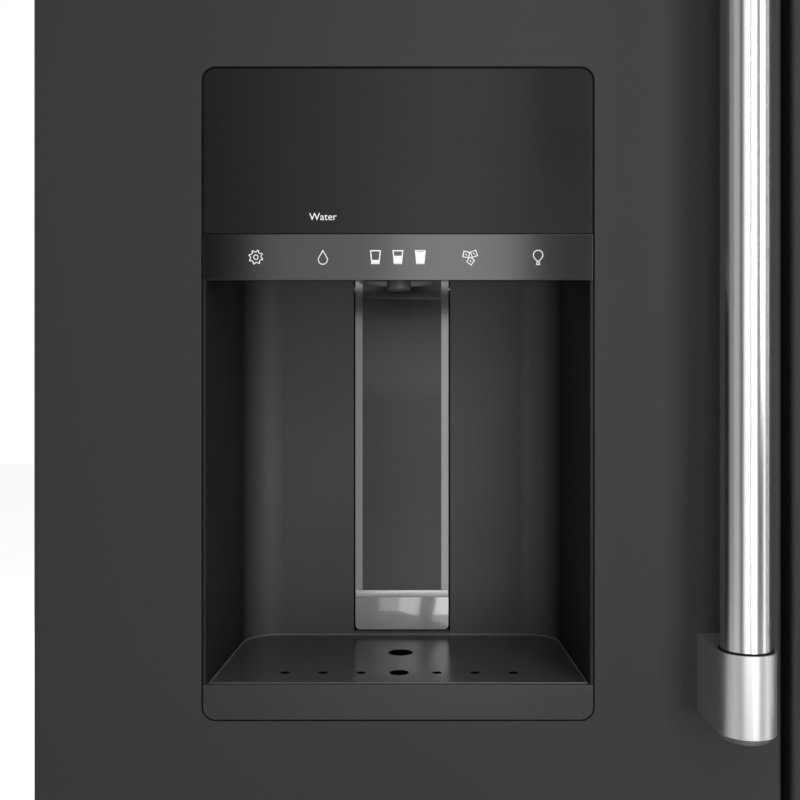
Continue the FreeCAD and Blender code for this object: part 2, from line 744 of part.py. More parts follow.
def build_freezer_slides():
    """Channels on the freezer's side walls that carry the drawer and the upper basket."""
    parts = []
    channel_wide = 14
    channel_tall = 40
    web = 8
    for side in (-1, 1):
        wall = side * half_room
        inner = wall - side * channel_wide
        x = (inner, wall) if side > 0 else (wall, inner)
        y = (case_y + 12, step_y - 20)
        lower = block("slide_lower", x, y, (slide_z, slide_z + channel_tall))
        slot_x = (inner - 1, inner + web) if side > 0 else (inner - web, inner + 1)
        slot_z = (slide_z + web, slide_z + channel_tall - web)
        slot = block("slide_slot", slot_x, (y[0] - 1, y[1] - 6), slot_z)
        parts.append(minus("slide_channel", lower, slot))
        parts.append(block("slide_ledge", x, y, (ledge_z, ledge_z + web)))
    node("freezer_slides", group("freezer_slides", *parts))


slide_z = freezer_floor + 70
ledge_z = freezer_roof - 150


def build_hinges():
    """Top plates with pins that go down into the doors, and middle brackets with pins that go up."""
    tops = []
    middles = []
    covers = []
    leaf_nose = 14
    leaf_back = 92
    screw_r = 5
    for side in (-1, 1):
        x_pin = side * hinge_x
        edge = side * (half_case - leaf_in)
        reach = edge - side * leaf_wide
        x = (edge, reach) if side < 0 else (reach, edge)
        leaf_y = (hinge_y - leaf_nose, case_y + leaf_back)
        leaf = block("top_leaf", x, leaf_y, (case_top, case_top + leaf_thick))
        pin_low = case_top - top_gap - pin_long
        pin = rod("top_pin", "Z", x_pin, hinge_y, pin_low, pin_dia / 2, pin_long + top_gap + 1)
        screws = [
            rod("leaf_screw", "Z", x_pin + side * dx, case_y + dy, case_top + leaf_thick - 1, screw_r, 4)
            for dx, dy in ((0, 30), (0, 72), (-18, 50))
        ]
        tops.append(plus("top_hinge", leaf, pin, *screws))
        shelf_z = drawer_top + (shelf_gap - leaf_thick) / 2
        arm = block("mid_leaf", x, (hinge_y - leaf_nose, case_y), (shelf_z, shelf_z + leaf_thick))
        foot = block("mid_foot", x, (case_y - 3, case_y), (drawer_top - 10, door_low + 10))
        up_pin = rod("mid_pin", "Z", x_pin, hinge_y, shelf_z + 1, pin_dia / 2, pin_long + leaf_thick)
        middles.append(plus("mid_hinge", arm, foot, up_pin))
        outer = side * (half_case - 2)
        inner = outer - side * (leaf_wide + 44)
        cover_x = (outer, inner) if side < 0 else (inner, outer)
        cover_name = "left_cover" if side < 0 else "right_cover"
        covers.append(open_box_down(cover_name, cover_x, cover_y, (case_top, over_tall)))
    node("door_hinges", group("hinge_plates", *tops, *middles))
    node("hinge_covers", group("hinge_caps", *covers))


cover_y = (hinge_y - 20, case_y + 112)


def open_box_down(name, x, y, z):
    """A moulded cap with softened corners, open underneath."""
    cap = Body(name, x[0], y[0], z[0])
    wide = dim(x[1]) - x[0]
    deep = dim(y[1]) - y[0]
    tall = dim(z[1]) - z[0]
    cap.pad(cap.rect("XY", (0, wide), (0, deep)), tall)
    cap.soften("Fillet", 10, runs("z"))
    cap.soften("Fillet", 4, lambda e: abs(e.BoundBox.ZMin - tall.value) < 0.01)
    wall = cover_wall
    cap.pocket(cap.rect("XY", (wall, wide - wall), (wall, deep - wall)), tall - 2.5, flip=True)
    # the part above the door stands clear of it
    cap.pocket(cap.rect("XY", (-1, wide + 1), (-1, case_y - hinge_y + 8), -1), 1.2, flip=True)
    return cap.body


# ---------------------------------------------------------------- doors


def door_skin(name, x, z, opening=None):
    """Folded sheet pan: the front and its four returns, with softened front edges."""
    wide = x[1] - x[0]
    tall = z[1] - z[0]
    pan = Body(name, x[0], door_y, z[0])
    pan.pad(pan.rect("XZ", (0, wide), (0, tall)), door_thick - liner_wall, flip=True)
    pan.soften("Fillet", door_round, runs("z", y=0), runs("x", y=0))
    back = door_thick
    inner = pan.rect("XZ", (sheet_steel, wide - sheet_steel), (sheet_steel, tall - sheet_steel), -back)
    pan.pocket(inner, back - sheet_steel, flip=True)
    if opening:
        ox, oz = opening
        pan.pocket(pan.rect("XZ", ox, oz), sheet_steel * 2)
        for cx in ox:
            pan.soften("Fillet", disp_round, runs("y", x=cx))
    return pan


def bore_through(name, thing, x):
    """Drills a door for its two hinge pins."""
    bore_r = pin_dia / 2 + pin_slack
    low = rod(name + "_low_bore", "Z", x, hinge_y, door_low - 1, bore_r, pin_long + 2)
    high = rod(name + "_high_bore", "Z", x, hinge_y, door_top - pin_long - 1, bore_r, pin_long + 2)
    return minus(name + "_bored", thing, low, high)


def build_gasket(name, x, z, low_in, high_in):
    """Magnetic gasket: a flat frame around the door's back."""
    y = (door_back, case_y - gasket_slack)
    outer = block(name + "_out", (x[0] + low_in, x[1] - high_in), y, (z[0] + gasket_in, z[1] - gasket_in))
    inner = block(
        name + "_in",
        (x[0] + low_in + gasket_wide, x[1] - high_in - gasket_wide),
        (y[0] - 1, y[1] + 1),
        (z[0] + gasket_in + gasket_wide, z[1] - gasket_in - gasket_wide),
    )
    node(name, minus(name, outer, inner))


def handle(name, upright, x, z, long):
    """A tube held by a bracket at each end. Runs along Z if upright, else along X."""
    axis = "Z" if upright else "X"
    y = door_y - bar_out
    first = cap_tall - cap_seat
    start = (x, y, z + first) if upright else (x + first, y, z)
    tube_long = long - first * 2
    outer = rod(name + "_tube", axis, *start, bar_r, tube_long)
    bore = rod(name + "_tube_bore", axis, *start, bar_r - bar_wall, tube_long)
    node(name + "_bar", minus(name + "_tube_wall", outer, bore))
    brackets = []
    for far in (False, True):
        made = handle_bracket(f"{name}_bracket_{'far' if far else 'near'}", far)
        shift = long - cap_tall if far else dim(0)
        if upright:
            place(made, x, y, z + shift)
        else:
            place(made, x + shift, y, z, Rotation(Vector(0, 1, 0), 90))
        brackets.append(made)
    node(name + "_brackets", group(name + "_bracket_pair", *brackets))


def handle_bracket(name, far):
    """In plan a round nose about the tube and straight sides back to the door. The tube's end sits in it."""
    bracket = Body(name)
    plan = bracket.sketch("XY")
    r = cap_r.value
    out = bar_out.value
    corners = [Vector(-r, out, 0), Vector(-r, 0, 0), Vector(r, 0, 0), Vector(r, out, 0)]
    nose = Part.ArcOfCircle(Part.Circle(Vector(0, 0, 0), Vector(0, 0, 1), r), math.pi, 2 * math.pi)
    for shape in (
        Part.LineSegment(corners[0], corners[1]),
        nose,
        Part.LineSegment(corners[2], corners[3]),
        Part.LineSegment(corners[3], corners[0]),
    ):
        plan.addGeometry(shape, False)
    for i in range(4):
        plan.addConstraint(Sketcher.Constraint("Coincident", i, 2, (i + 1) % 4, 1))
    plan.addConstraint(Sketcher.Constraint("Coincident", 1, 3, -1, 1))
    plan.addConstraint(Sketcher.Constraint("Vertical", 0))
    plan.addConstraint(Sketcher.Constraint("Vertical", 2))
    plan.addConstraint(Sketcher.Constraint("Horizontal", 3))
    plan.addConstraint(Sketcher.Constraint("PointOnObject", 1, 1, -1))
    plan.addConstraint(Sketcher.Constraint("PointOnObject", 1, 2, -1))
    bracket.fix(plan, "Radius", 1, cap_r)
    bracket.fix(plan, "DistanceY", -1, 1, 3, 1, bar_out)
    bracket.pad(plan, cap_tall)
    end = cap_tall.value if far else 0

    def on_end(edge):
        box = edge.BoundBox
        return abs(box.ZMin - end) < 0.01 and abs(box.ZMax - end) < 0.01 and box.YMin < out - 0.5

    bracket.soften("Chamfer", cap_chamfer, on_end)
    mouth = bracket.circle("XY", 0, 0, bar_dia, 0 if far else cap_tall - cap_seat)
    bracket.pocket(mouth, cap_seat, flip=True)
    return bracket.body


def door_fill(name, x, z):
    """The foam block inside a door's skin."""
    fill_x = (x[0] + sheet_steel, x[1] - sheet_steel)
    fill_z = (z[0] + sheet_steel, z[1] - sheet_steel)
    return block(name, fill_x, (door_y + sheet_steel, door_back - liner_wall), fill_z)


def build_left_door():
    x = (left_x, -half_gap)
    z = (door_low, door_top)
    opening = ((disp_in, disp_in + disp_wide), (disp_up, disp_up + disp_tall))
    skin = door_skin("left_skin", x, z, opening)
    pin_x = -hinge_x
    node("left_door_skin", bore_through("left_skin", skin.body, pin_x))
    filled = plus("left_foam_fill", door_fill("left_fill", x, z), bulge_foam())
    foam = minus("left_foam", filled, *foam_spaces())
    node("left_door_foam", bore_through("left_foam", foam, pin_x))
    node("left_door_liner", left_liner(x, z))
    build_gasket("left_door_gasket", x, z, gasket_in, gasket_mid)
    low_bin = door_bin("left_bin_low", bulge_x, (fridge_floor + 12, bulge_z[0] - 8))
    high_bin = door_bin("left_bin_high", (x[0] + 62, x[1] - 62), (bulge_z[1] + 12, bulge_z[1] + 92))
    node("left_door_bins", group("left_door_bins", low_bin, high_bin))
    handle("left_handle", True, -half_gap - bar_in, door_low + handle_up, bar_long)


def bulge_foam():
    """Foam that fills the cover behind the dispenser and the ice box."""
    return block("left_bulge_fill", bulge_in_x, (door_back - 20, bulge_y - liner_wall), bulge_in_z)


def foam_spaces():
    """What the left door's foam leaves free: the dispenser, its seal, the ice box and the chute."""
    pocket_y = (door_y, pocket_rear + tub_back)
    seal_x = (tub_x0 - seal_wide, tub_x1 + seal_wide)
    seal_z = (tub_z0 - seal_wide, tub_z1 + seal_wide)
    chute_low = tub_z1 - 5
    chute_long = ice_floor - chute_low + 5
    return [
        block("tub_space", (tub_x0, tub_x1), (door_y, tub_rear), (tub_z0, tub_z1)),
        block("seal_space", seal_x, (door_y, door_y + seal_deep), seal_z),
        block("pocket_space", pocket_out_x, pocket_y, (pocket_out_z, pocket_top)),
        block("ice_space", ice_x, (ice_y, bulge_y), (ice_floor, ice_roof)),
        rod("chute_space", "Z", tub_mid, door_y + chute_back, chute_low, chute_dia / 2, chute_long),
    ]


def left_liner(x, z):
    """A sheet over the back, the cover over dispenser and ice box, and lugs for the mullion."""
    plate = block("left_plate", x, (door_back - liner_wall, door_back), z)
    shell = block("left_bulge", bulge_x, (door_back - liner_wall, bulge_y), bulge_z)
    hollow_y = (door_back - liner_wall * 2, bulge_y - liner_wall)
    hollow = block("left_bulge_in", bulge_in_x, hollow_y, bulge_in_z)
    cover = minus("left_hollowed", plus("left_sheet", plate, shell), hollow)
    ice_mouth = block("ice_mouth", ice_x, (bulge_y - 10, bulge_y + 1), (ice_floor, ice_roof))
    lug_half = 7
    lug_tall = 21
    lug_x = (flap_x - lug_half, flap_x + lug_half)
    lug_y = (door_back - 1, flap_y + lug_half)
    lugs = [
        block("lug", lug_x, lug_y, (low, low + lug_tall)) for low in (flap_low - lug_tall - 1, flap_high + 1)
    ]
    bores = [rod("lug_bore", "Z", flap_x, flap_y, low, 3.2, 14) for low in (flap_low - 14, flap_high)]
    return minus("left_liner", plus("left_liner_solid", cover, *lugs), ice_mouth, *bores)


def door_bin(name, x, z):
    return open_box(name, x, (door_back, door_back + bin_deep), z, bin_wall, "+z")


bulge_x = (tub_x0 - 14, tub_x1 + 14)
bulge_z = (tub_z0 - 20, ice_roof + 22)
bulge_in_x = (bulge_x[0] + liner_wall, bulge_x[1] - liner_wall)
bulge_in_z = (bulge_z[0] + liner_wall, bulge_z[1] - liner_wall)
pocket_half = paddle_wide / 2 + paddle_slack + 6
pocket_out_x = (tub_mid - pocket_half, tub_mid + pocket_half)
pocket_out_z = paddle_z - paddle_slack - 2.5
pocket_top = roof_z + 2.5
ice_x = (tub_x0 + 6, tub_x1 - 6)
ice_y = door_y + 32
handle_up = disp_up + 3
flap_x = -(half_gap + gasket_mid + gasket_wide + 10)
flap_y = case_y + 1 + flap_thick / 2
flap_low = fridge_floor + 26
flap_high = fridge_roof - 26


def build_dispenser():
    """The moulded housing: the recess, the bay for the controls above it and the paddle's pocket."""
    deep = recess_deep + tub_back
    tall = tub_z1 - tub_z0
    tub = Body("dispenser_housing", tub_x0, door_y, tub_z0)
    tub.pad(tub.rect("XZ", (0, tub_wide), (0, tall)), deep, flip=True)
    tub.soften("Fillet", tub_round, runs("y"))
    mid = tub_wide / 2
    box_x = (pocket_out_x[0] - tub_x0, pocket_out_x[1] - tub_x0)
    box_z = (pocket_out_z - tub_z0, pocket_top - tub_z0)
    rear = pocket_rear + tub_back - door_y
    tub.pad(tub.rect("XZ", box_x, box_z, -(deep - 1)), rear - deep + 1, flip=True)
    # the recess in plan: nearly straight sides and round back corners
    floor = floor_z - tub_z0
    roof = roof_z - tub_z0
    plan = tub.outline(
        "XY",
        [
            (tub_wall, -1),
            (tub_wide - tub_wall, -1),
            (tub_wide - tub_wall - recess_taper, recess_deep),
            (tub_wall + recess_taper, recess_deep),
        ],
        floor,
    )
    tub.pocket(plan, roof - floor, flip=True)
    corners = [
        runs("z", y=recess_deep, x=tub_wall + recess_taper),
        runs("z", y=recess_deep, x=tub_wide - tub_wall - recess_taper),
    ]
    tub.soften("Fillet", recess_round, *corners)
    # steps for the two front panels and for the tray's front
    tub.pocket(tub.rect("XZ", (-1, tub_wide + 1), (strip_z - tub_z0, tall + 1)), fascia_thick)
    lip_gap = tray_slack / 2
    tub.pocket(tub.rect("XZ", (-1, tub_wide + 1), (-1, lip_tall + lip_gap)), lip_thick + lip_gap)
    # bay behind the panels
    bay = tub.rect("XZ", (3, tub_wide - 3), (roof + 2.5, tall - 3), -fascia_thick)
    tub.pocket(bay, recess_deep - fascia_thick)
    # pocket behind the paddle, and its pivot holes
    slot_x = (mid - paddle_wide / 2 - paddle_slack, mid + paddle_wide / 2 + paddle_slack)
    slot = tub.rect("XZ", slot_x, (paddle_z - paddle_slack - tub_z0, roof), -(recess_deep - 1))
    tub.pocket(slot, pocket_rear - door_y - recess_deep + 1)
    hole = tub.circle("YZ", pivot_y - door_y, pivot_z - tub_z0, pivot_dia + 0.4, mid - pivot_reach - 0.5)
    tub.pocket(hole, pivot_reach * 2 + 1, flip=True)
    # ways through the roof for the spout and the ice
    ring = tub.circle("XY", mid, chute_back, chute_dia, roof - 1)
    tub.pocket(ring, tall - roof + 2, flip=True)
    spout = tub.circle("XY", mid, spout_back, spout_dia - 5, roof - 1)
    tub.pocket(spout, 6, flip=True)
    tub.done("dispenser_housing")


pivot_y = paddle_y + paddle_thick / 2 + 3
pivot_z = paddle_top - 6
pivot_reach = paddle_wide / 2 + paddle_slack + 3


def build_fascia():
    """Upper panel with two round corners, and the control strip under it."""
    panel = Body("dispenser_fascia", tub_x0, door_y, fascia_z + seam)
    tall = fascia_tall - seam
    panel.pad(panel.rect("XZ", (0, tub_wide), (0, tall)), fascia_thick, flip=True)
    panel.soften("Fillet", tub_round, runs("y", z=tall))
    panel.soften("Fillet", 0.8, runs("x", y=0, z=tall))
    panel.done("dispenser_fascia")
    strip = Body("control_strip", tub_x0, door_y - 0.6, strip_z)
    strip.pad(strip.rect("XZ", (0, tub_wide), (0, strip_tall)), fascia_thick + 0.6, flip=True)
    strip.soften("Fillet", 0.5, runs("x", y=0), runs("z", y=0))
    strip.done("control_strip")


def build_spout_and_chute():
    spout = Body("water_spout", tub_mid, door_y + spout_back, strip_z - spout_drop)
    head = roof_z - strip_z + spout_drop
    spout.pad(spout.circle("XY", 0, 0, spout_dia), head)
    spout.soften("Chamfer", 0.8, lambda e: abs(e.BoundBox.ZMax) < 0.01)
    spout.pad(spout.circle("XY", 0, 0, spout_dia - 5.4), head + 30)
    spout.pocket(spout.circle("XY", 0, 0, 6), head + 31, flip=True)
    spout.done("water_spout")
    low = strip_z + chute_rise
    outer = rod("chute_outer", "Z", tub_mid, door_y + chute_back, low, chute_dia / 2, ice_floor - low)
    inner_r = chute_dia / 2 - chute_wall
    inner = rod("chute_inner", "Z", tub_mid, door_y + chute_back, low - 1, inner_r, ice_floor - low + 2)
    pin_r = dim(1.5)
    bore_r = pin_r + 0.2
    gate_bore = rod("gate_bore", "X", tub_mid - chute_dia / 2 - 1, gate_y, gate_z, bore_r, chute_dia + 2)
    node("ice_chute", minus("ice_chute", outer, inner, gate_bore))
    # the gate that opens the chute, on a pin across its back edge
    disc = rod("gate_disc", "Z", tub_mid, door_y + chute_back, gate_z - 1, inner_r - gate_slack, 2)
    pin = rod("gate_pin", "X", tub_mid - gate_half, gate_y, gate_z, pin_r, gate_half * 2)
    node("chute_gate", plus("chute_gate", disc, pin))


gate_z = roof_z + 70
gate_y = door_y + chute_back + chute_dia / 2 - chute_wall - gate_slack - 3
gate_half = dim(18)


def build_paddle():
    """Frame with a dark window, on two short pivots at its top."""
    tall = paddle_top - paddle_z
    plate = Body("paddle_plate", tub_mid - paddle_wide / 2, paddle_y, paddle_z)
    plate.pad(plate.rect("XZ", (0, paddle_wide), (0, tall)), paddle_thick, flip=True)
    plate.soften("Fillet", 3.5, runs("y", z=0))
    window = plate.rect("XZ", (paddle_rim, paddle_wide - paddle_rim), (paddle_foot, tall - paddle_head))
    plate.pocket(window, pane_thick + pane_sunk)
    ear = plate.rect("XZ", (0, paddle_wide), (tall - 12, tall), -(paddle_thick - 1))
    plate.pad(ear, 7, flip=True)
    reach = pivot_long - 3
    pivot = plate.circle("YZ", pivot_y - paddle_y, pivot_z - paddle_z, pivot_dia, -reach)
    plate.pad(pivot, paddle_wide + reach * 2)
    plate.done("paddle_plate")
    pane = Body("paddle_window", tub_mid - paddle_wide / 2, paddle_y + pane_sunk, paddle_z)
    inset = paddle_rim + pane_slack
    pane_z = (paddle_foot + pane_slack, tall - paddle_head - pane_slack)
    pane.pad(pane.rect("XZ", (inset, paddle_wide - inset), pane_z), pane_thick, flip=True)
    pane.done("paddle_window")


def tray_plan(body, spread, offset):
    """The recess's plan drawn in by a clearance."""
    side = tub_wall + spread
    return body.outline(
        "XY",
        [
            (side, lip_thick),
            (tub_wide - side, lip_thick),
            (tub_wide - side - recess_taper, recess_deep - spread),
            (side + recess_taper, recess_deep - spread),
        ],
        offset,
    )


def back_corners(spread):
    side = tub_wall + spread + recess_taper
    deep = recess_deep - spread
    return [runs("z", y=deep, x=side), runs("z", y=deep, x=tub_wide - side)]


def build_tray():
    """Basin that slides out of the recess, closed by a cover with drain holes."""
    tray = Body("drip_tray", tub_x0, door_y, tub_z0)
    base = tray_floor + 0.4
    cover_low = lip_tall - 0.5 - grille_thick
    tray.pad(tray_plan(tray, tray_slack, base), cover_low - base)
    tray.soften("Fillet", recess_round - tray_slack, *back_corners(tray_slack))
    spread = tray_slack + tray_wall
    # the hollow's back corners are cut off, to follow the round ones outside
    near = tub_wall + spread + 1
    far = tub_wall + spread + recess_taper
    cut_x = 16
    cut_y = 12
    deep = recess_deep - spread
    hollow = tray.outline(
        "XY",
        [
            (near, lip_thick + tray_wall),
            (tub_wide - near, lip_thick + tray_wall),
            (tub_wide - far, deep - cut_y),
            (tub_wide - far - cut_x, deep),
            (far + cut_x, deep),
            (far, deep - cut_y),
        ],
        base + tray_wall,
    )
    tray.pocket(hollow, cover_low, flip=True)
    tray.pad(tray.rect("XZ", (0, tub_wide), (0, lip_tall)), lip_thick, flip=True)
    tray.soften("Fillet", tub_round, runs("y", z=0, y=lip_thick / 2))
    tray.soften("Fillet", 0.8, runs("x", y=0, z=lip_tall))
    tray.done("drip_tray")
    grille = Body("drip_grille", tub_x0, door_y, tub_z0)
    edge = tray_slack + 0.4
    grille.pad(tray_plan(grille, edge, cover_low), grille_thick)
    grille.soften("Fillet", recess_round - edge, *back_corners(edge))
    mid = tub_wide / 2
    through = grille_thick + 2
    below = cover_low - 1
    for first in (mid - hole_pitch * 3, mid + hole_pitch):
        hole = grille.pocket(grille.circle("XY", first, hole_row, hole_small, below), through, flip=True)
        grille.repeat(hole, "X", hole_pitch, 3)
    grille.pocket(grille.circle("XY", mid, hole_row, hole_middle, below), through, flip=True)
    grille.pocket(grille.circle("XY", mid, hole_rear, hole_big, below), through, flip=True)
    grille.done("drip_grille")


def build_ice_box():
    """Ice maker above a bucket whose front closes the box in the door."""
    bucket_x = (ice_x[0] + 1, ice_x[1] - 1)
    bucket_z = (ice_floor, ice_roof - 112)
    bucket = open_box("bucket", bucket_x, (ice_y + 1, bulge_y - 0.5), bucket_z, bin_wall, "+z")
    front = block("bucket_front", bucket_x, (bulge_y - 6, bulge_y), (ice_floor, ice_roof - 1))
    grip_x = (tub_mid - 45, tub_mid + 45)
    grip = block("bucket_grip", grip_x, (bulge_y - 3, bulge_y + 1), (ice_floor + 120, ice_floor + 150))
    outlet_r = chute_dia / 2 - chute_wall
    outlet = rod("bucket_outlet", "Z", tub_mid, door_y + chute_back, ice_floor - 1, outlet_r, 10)
    node("ice_bucket", minus("bucket_cut", plus("bucket_solid", bucket, front), grip, outlet))
    maker_wide = 170
    maker_deep = 84
    maker_tall = 46
    maker = Body("ice_maker", tub_mid - maker_wide / 2, ice_y + 4, ice_roof - maker_tall)
    maker.pad(maker.rect("XY", (0, maker_wide), (0, maker_deep)), maker_tall)
    cell = maker.pocket(maker.rect("XY", (8, 24), (10, maker_deep - 10), 12), 32, flip=True)
    maker.repeat(cell, "X", 19.7, 8)
    maker.done("ice_maker")


def build_mullion():
    """Folding strip that closes the middle gap. It is drawn folded in, pointing into the cabinet."""
    near = -flap_thick / 2
    strip = Body("mullion_flap", flap_x, flap_y, flap_low)
    strip.pad(strip.rect("XY", (near, flap_thick / 2), (near, flap_wide + near)), flap_high - flap_low)
    strip.soften("Fillet", 3, runs("z"))
    strip.pad(strip.circle("XY", 0, 0, 6, -12), flap_high - flap_low + 24)
    strip.done("mullion_flap")


def build_right_door():
    x = (half_gap, half_wide)
    z = (door_low, door_top)
    skin = door_skin("right_skin", x, z)
    node("right_door_skin", bore_through("right_skin", skin.body, hinge_x))
    node("right_door_foam", bore_through("right_foam", door_fill("right_fill", x, z), hinge_x))
    plate = block("right_plate", x, (door_back - liner_wall, door_back), z)
    dike_wide = 16
    dike_y = (door_back - 1, door_back + 70)
    dike_z = (fridge_floor + 20, fridge_roof - 20)
    bin_x = (half_gap + 44 + dike_wide, half_wide - 76)
    dike_lows = (bin_x[0] - dike_wide, bin_x[1])
    dikes = [block("dike", (low, low + dike_wide), dike_y, dike_z) for low in dike_lows]
    node("right_door_liner", plus("right_liner", plate, *dikes))
    build_gasket("right_door_gasket", x, z, gasket_mid, gasket_in)
    levels = [fridge_floor + 30 + bin_step * i for i in range(4)]
    bins = [door_bin(f"right_bin{i}", bin_x, (low, low + bin_tall)) for i, low in enumerate(levels)]
    node("right_door_bins", group("right_door_bins", *bins))
    handle("right_handle", True, half_gap + bar_in, door_low + handle_up, bar_long)


def build_drawer():
    """Freezer drawer: the front, its foam and gasket, the handle, two rails and a basket."""
    x = (-half_wide, half_wide)
    z = (drawer_low, drawer_top)
    skin = door_skin("drawer_skin", x, z)
    skin.done("drawer_skin")
    node("drawer_foam", door_fill("drawer_fill", x, z))
    node("drawer_liner", block("drawer_liner", x, (door_back - liner_wall, door_back), z))
    build_gasket("drawer_gasket", x, z, gasket_in, gasket_in)
    handle("drawer_handle", False, -drawer_bar_long / 2, drawer_top - drawer_bar_down, drawer_bar_long)
    rails = []
    reach = step_y - 30
    for side in (-1, 1):
        outer = side * (half_room - 7)
        inner = outer - side * 12
        rail_x = (inner, outer) if side > 0 else (outer, inner)
        rails.append(block("drawer_rail", rail_x, (door_back, reach), (slide_z + 9, slide_z + 31)))
    node("drawer_rails", group("drawer_rails", *rails))
    basket_x = (-half_room + 19, half_room - 19)
    basket_z = (freezer_floor + 12, ledge_z - 30)
    lower = open_box("basket", basket_x, (case_y + 6, step_y - 40), basket_z, bin_wall, "+z")
    node("drawer_basket", lower)
    upper_x = (-half_room + 3, half_room - 3)
    upper_z = (ledge_z + 8.4, freezer_roof - 24)
    upper = open_box("top_basket", upper_x, (case_y + 24, step_y - 30), upper_z, bin_wall, "+z")
    node("upper_basket", upper)


# ---------------------------------------------------------------- build, check and write

build_outer_case()
build_liners()
build_case_foam()
build_back()
build_base()
build_feet_and_rollers()
build_toe_grille()
build_machine()
build_fan()
build_shelves()
build_crispers()
build_freezer_slides()
build_hinges()
build_left_door()
build_dispenser()
build_fascia()
build_spout_and_chute()
build_paddle()
build_tray()
build_ice_box()
build_mullion()
build_right_door()
build_drawer()
doc.recompute()

for thing in doc.Objects:
    if "Invalid" in thing.State or "Error" in thing.State:
        raise ValueError(f"{thing.Name} failed: {thing.State}")
os.makedirs("parts", exist_ok=True)
for thing in nodes:
    shape = thing.Shape
    if shape.isNull() or not shape.isValid() or not shape.Solids:
        raise ValueError(f"{thing.Label} has no valid solid")
    shape.exportStep(f"parts/{thing.Label}.step")
print(f"{len(nodes)} nodes written")
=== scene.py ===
# %% [markdown]
# # A french door refrigerator
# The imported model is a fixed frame: every steel, plastic and glass part of the refrigerator is already there
# at its real size, in metres, with the doors facing -Y and +Z up. This lesson gives each part the finish of
# the real material and adds the details that a maker would mould, print or press into it.

# %% Load the frame
import math

import bpy
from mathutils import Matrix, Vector


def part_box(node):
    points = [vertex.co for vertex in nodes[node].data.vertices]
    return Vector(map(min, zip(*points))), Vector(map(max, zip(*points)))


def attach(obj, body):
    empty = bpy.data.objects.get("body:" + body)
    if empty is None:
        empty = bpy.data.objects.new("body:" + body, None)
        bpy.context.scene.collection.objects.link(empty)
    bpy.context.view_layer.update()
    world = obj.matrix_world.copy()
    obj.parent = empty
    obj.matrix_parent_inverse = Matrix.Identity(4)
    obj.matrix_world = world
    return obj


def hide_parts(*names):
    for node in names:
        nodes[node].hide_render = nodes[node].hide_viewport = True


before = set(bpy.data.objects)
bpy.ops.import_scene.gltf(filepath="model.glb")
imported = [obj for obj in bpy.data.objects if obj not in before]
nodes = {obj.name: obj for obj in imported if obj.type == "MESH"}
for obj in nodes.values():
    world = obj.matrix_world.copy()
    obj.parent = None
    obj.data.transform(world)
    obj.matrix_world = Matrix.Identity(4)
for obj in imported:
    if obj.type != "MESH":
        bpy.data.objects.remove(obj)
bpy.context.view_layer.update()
MM = 0.001

# %% [markdown]
# ## Places
# All later sizes are read from the parts that are already there, so the details follow when a size changes.

# %% Places read from the frame
low_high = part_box  # the lowest and the highest corner of a part


def middle(node):
    low, high = low_high(node)
    return (low + high) / 2


door_low = low_high("left_door_skin")[0]
face_y = door_low.y
housing_low, housing_high = low_high("dispenser_housing")
strip_low, strip_high = low_high("control_strip")
fascia_low = low_high("dispenser_fascia")[0]
window_low, window_high = low_high("paddle_window")
plate_low, plate_high = low_high("paddle_plate")
dispenser_x = (housing_low.x + housing_high.x) / 2
print("door front at y", round(face_y, 4), "dispenser middle at x", round(dispenser_x, 4))

# %% [markdown]
# ## Camera
# The camera stands level, about 0.6 m in front of the left door. A small sideways shift keeps it square to
# the door.

# %% Camera
EYE_DISTANCE = 610 * MM
EYE_ALONG_DOOR = 233.1 * MM
EYE_ABOVE_TRAY = 192.4 * MM

bpy.ops.object.camera_add(
    location=(door_low.x + EYE_ALONG_DOOR, face_y - EYE_DISTANCE, housing_low.z + EYE_ABOVE_TRAY),
    rotation=(math.radians(90), 0, 0),
)
camera = bpy.context.object
camera.name = "camera"
camera.data.lens = 45.6
camera.data.sensor_width = 36
camera.data.shift_x = -0.025
camera.data.clip_start = 0.01
camera.data.clip_end = 100
bpy.context.scene.camera = camera
print("camera at", [round(v, 3) for v in camera.location])

# %% [markdown]
# ## Colours and nodes
# Colours are written as sRGB hex values, as on a paint chart. A shader works with linear light, so one
# function turns them. One more function adds a shader node with its settings and its links.

# %% Colour and node helpers
def colour(code):
    """An sRGB hex value as linear red, green, blue and alpha."""
    channels = [int(code[i : i + 2], 16) / 255 for i in (1, 3, 5)]
    return [c / 12.92 if c <= 0.04045 else ((c + 0.055) / 1.055) ** 2.4 for c in channels] + [1.0]


def add_node(tree, kind, inputs=None, **settings):
    """Adds a node. An input's value is a number, a colour, or another node's output socket."""
    node = tree.nodes.new(kind)
    for name, value in settings.items():
        setattr(node, name, value)
    for name, value in (inputs or {}).items():
        if isinstance(value, bpy.types.NodeSocket):
            tree.links.new(value, node.inputs[name])
        else:
            node.inputs[name].default_value = value
    return node


def new_material(name, **constants):
    """A material with a Principled shader. Constants are its own sockets, with _ for a space."""
    material = bpy.data.materials.new(name)
    material.use_nodes = True
    tree = material.node_tree
    shader = tree.nodes["Principled BSDF"]
    for key, value in constants.items():
        shader.inputs[key.replace("_", " ")].default_value = value
    return material, tree, shader


def object_place(tree, scale=(1, 1, 1)):
    """Object coordinates, stretched by a Mapping node."""
    place = add_node(tree, "ShaderNodeTexCoord")
    mapping = add_node(tree, "ShaderNodeMapping", {"Vector": place.outputs["Object"], "Scale": scale})
    return mapping.outputs["Vector"]


def colour_range(tree, value, stops):
    """A colour ramp through (position, hex value) stops."""
    ramp = add_node(tree, "ShaderNodeValToRGB", {"Fac": value})
    elements = ramp.color_ramp.elements
    while len(elements) < len(stops):
        elements.new(0.5)
    for element, (position, code) in zip(elements, stops):
        element.position = position
        element.color = colour(code)
    return ramp.outputs["Color"]


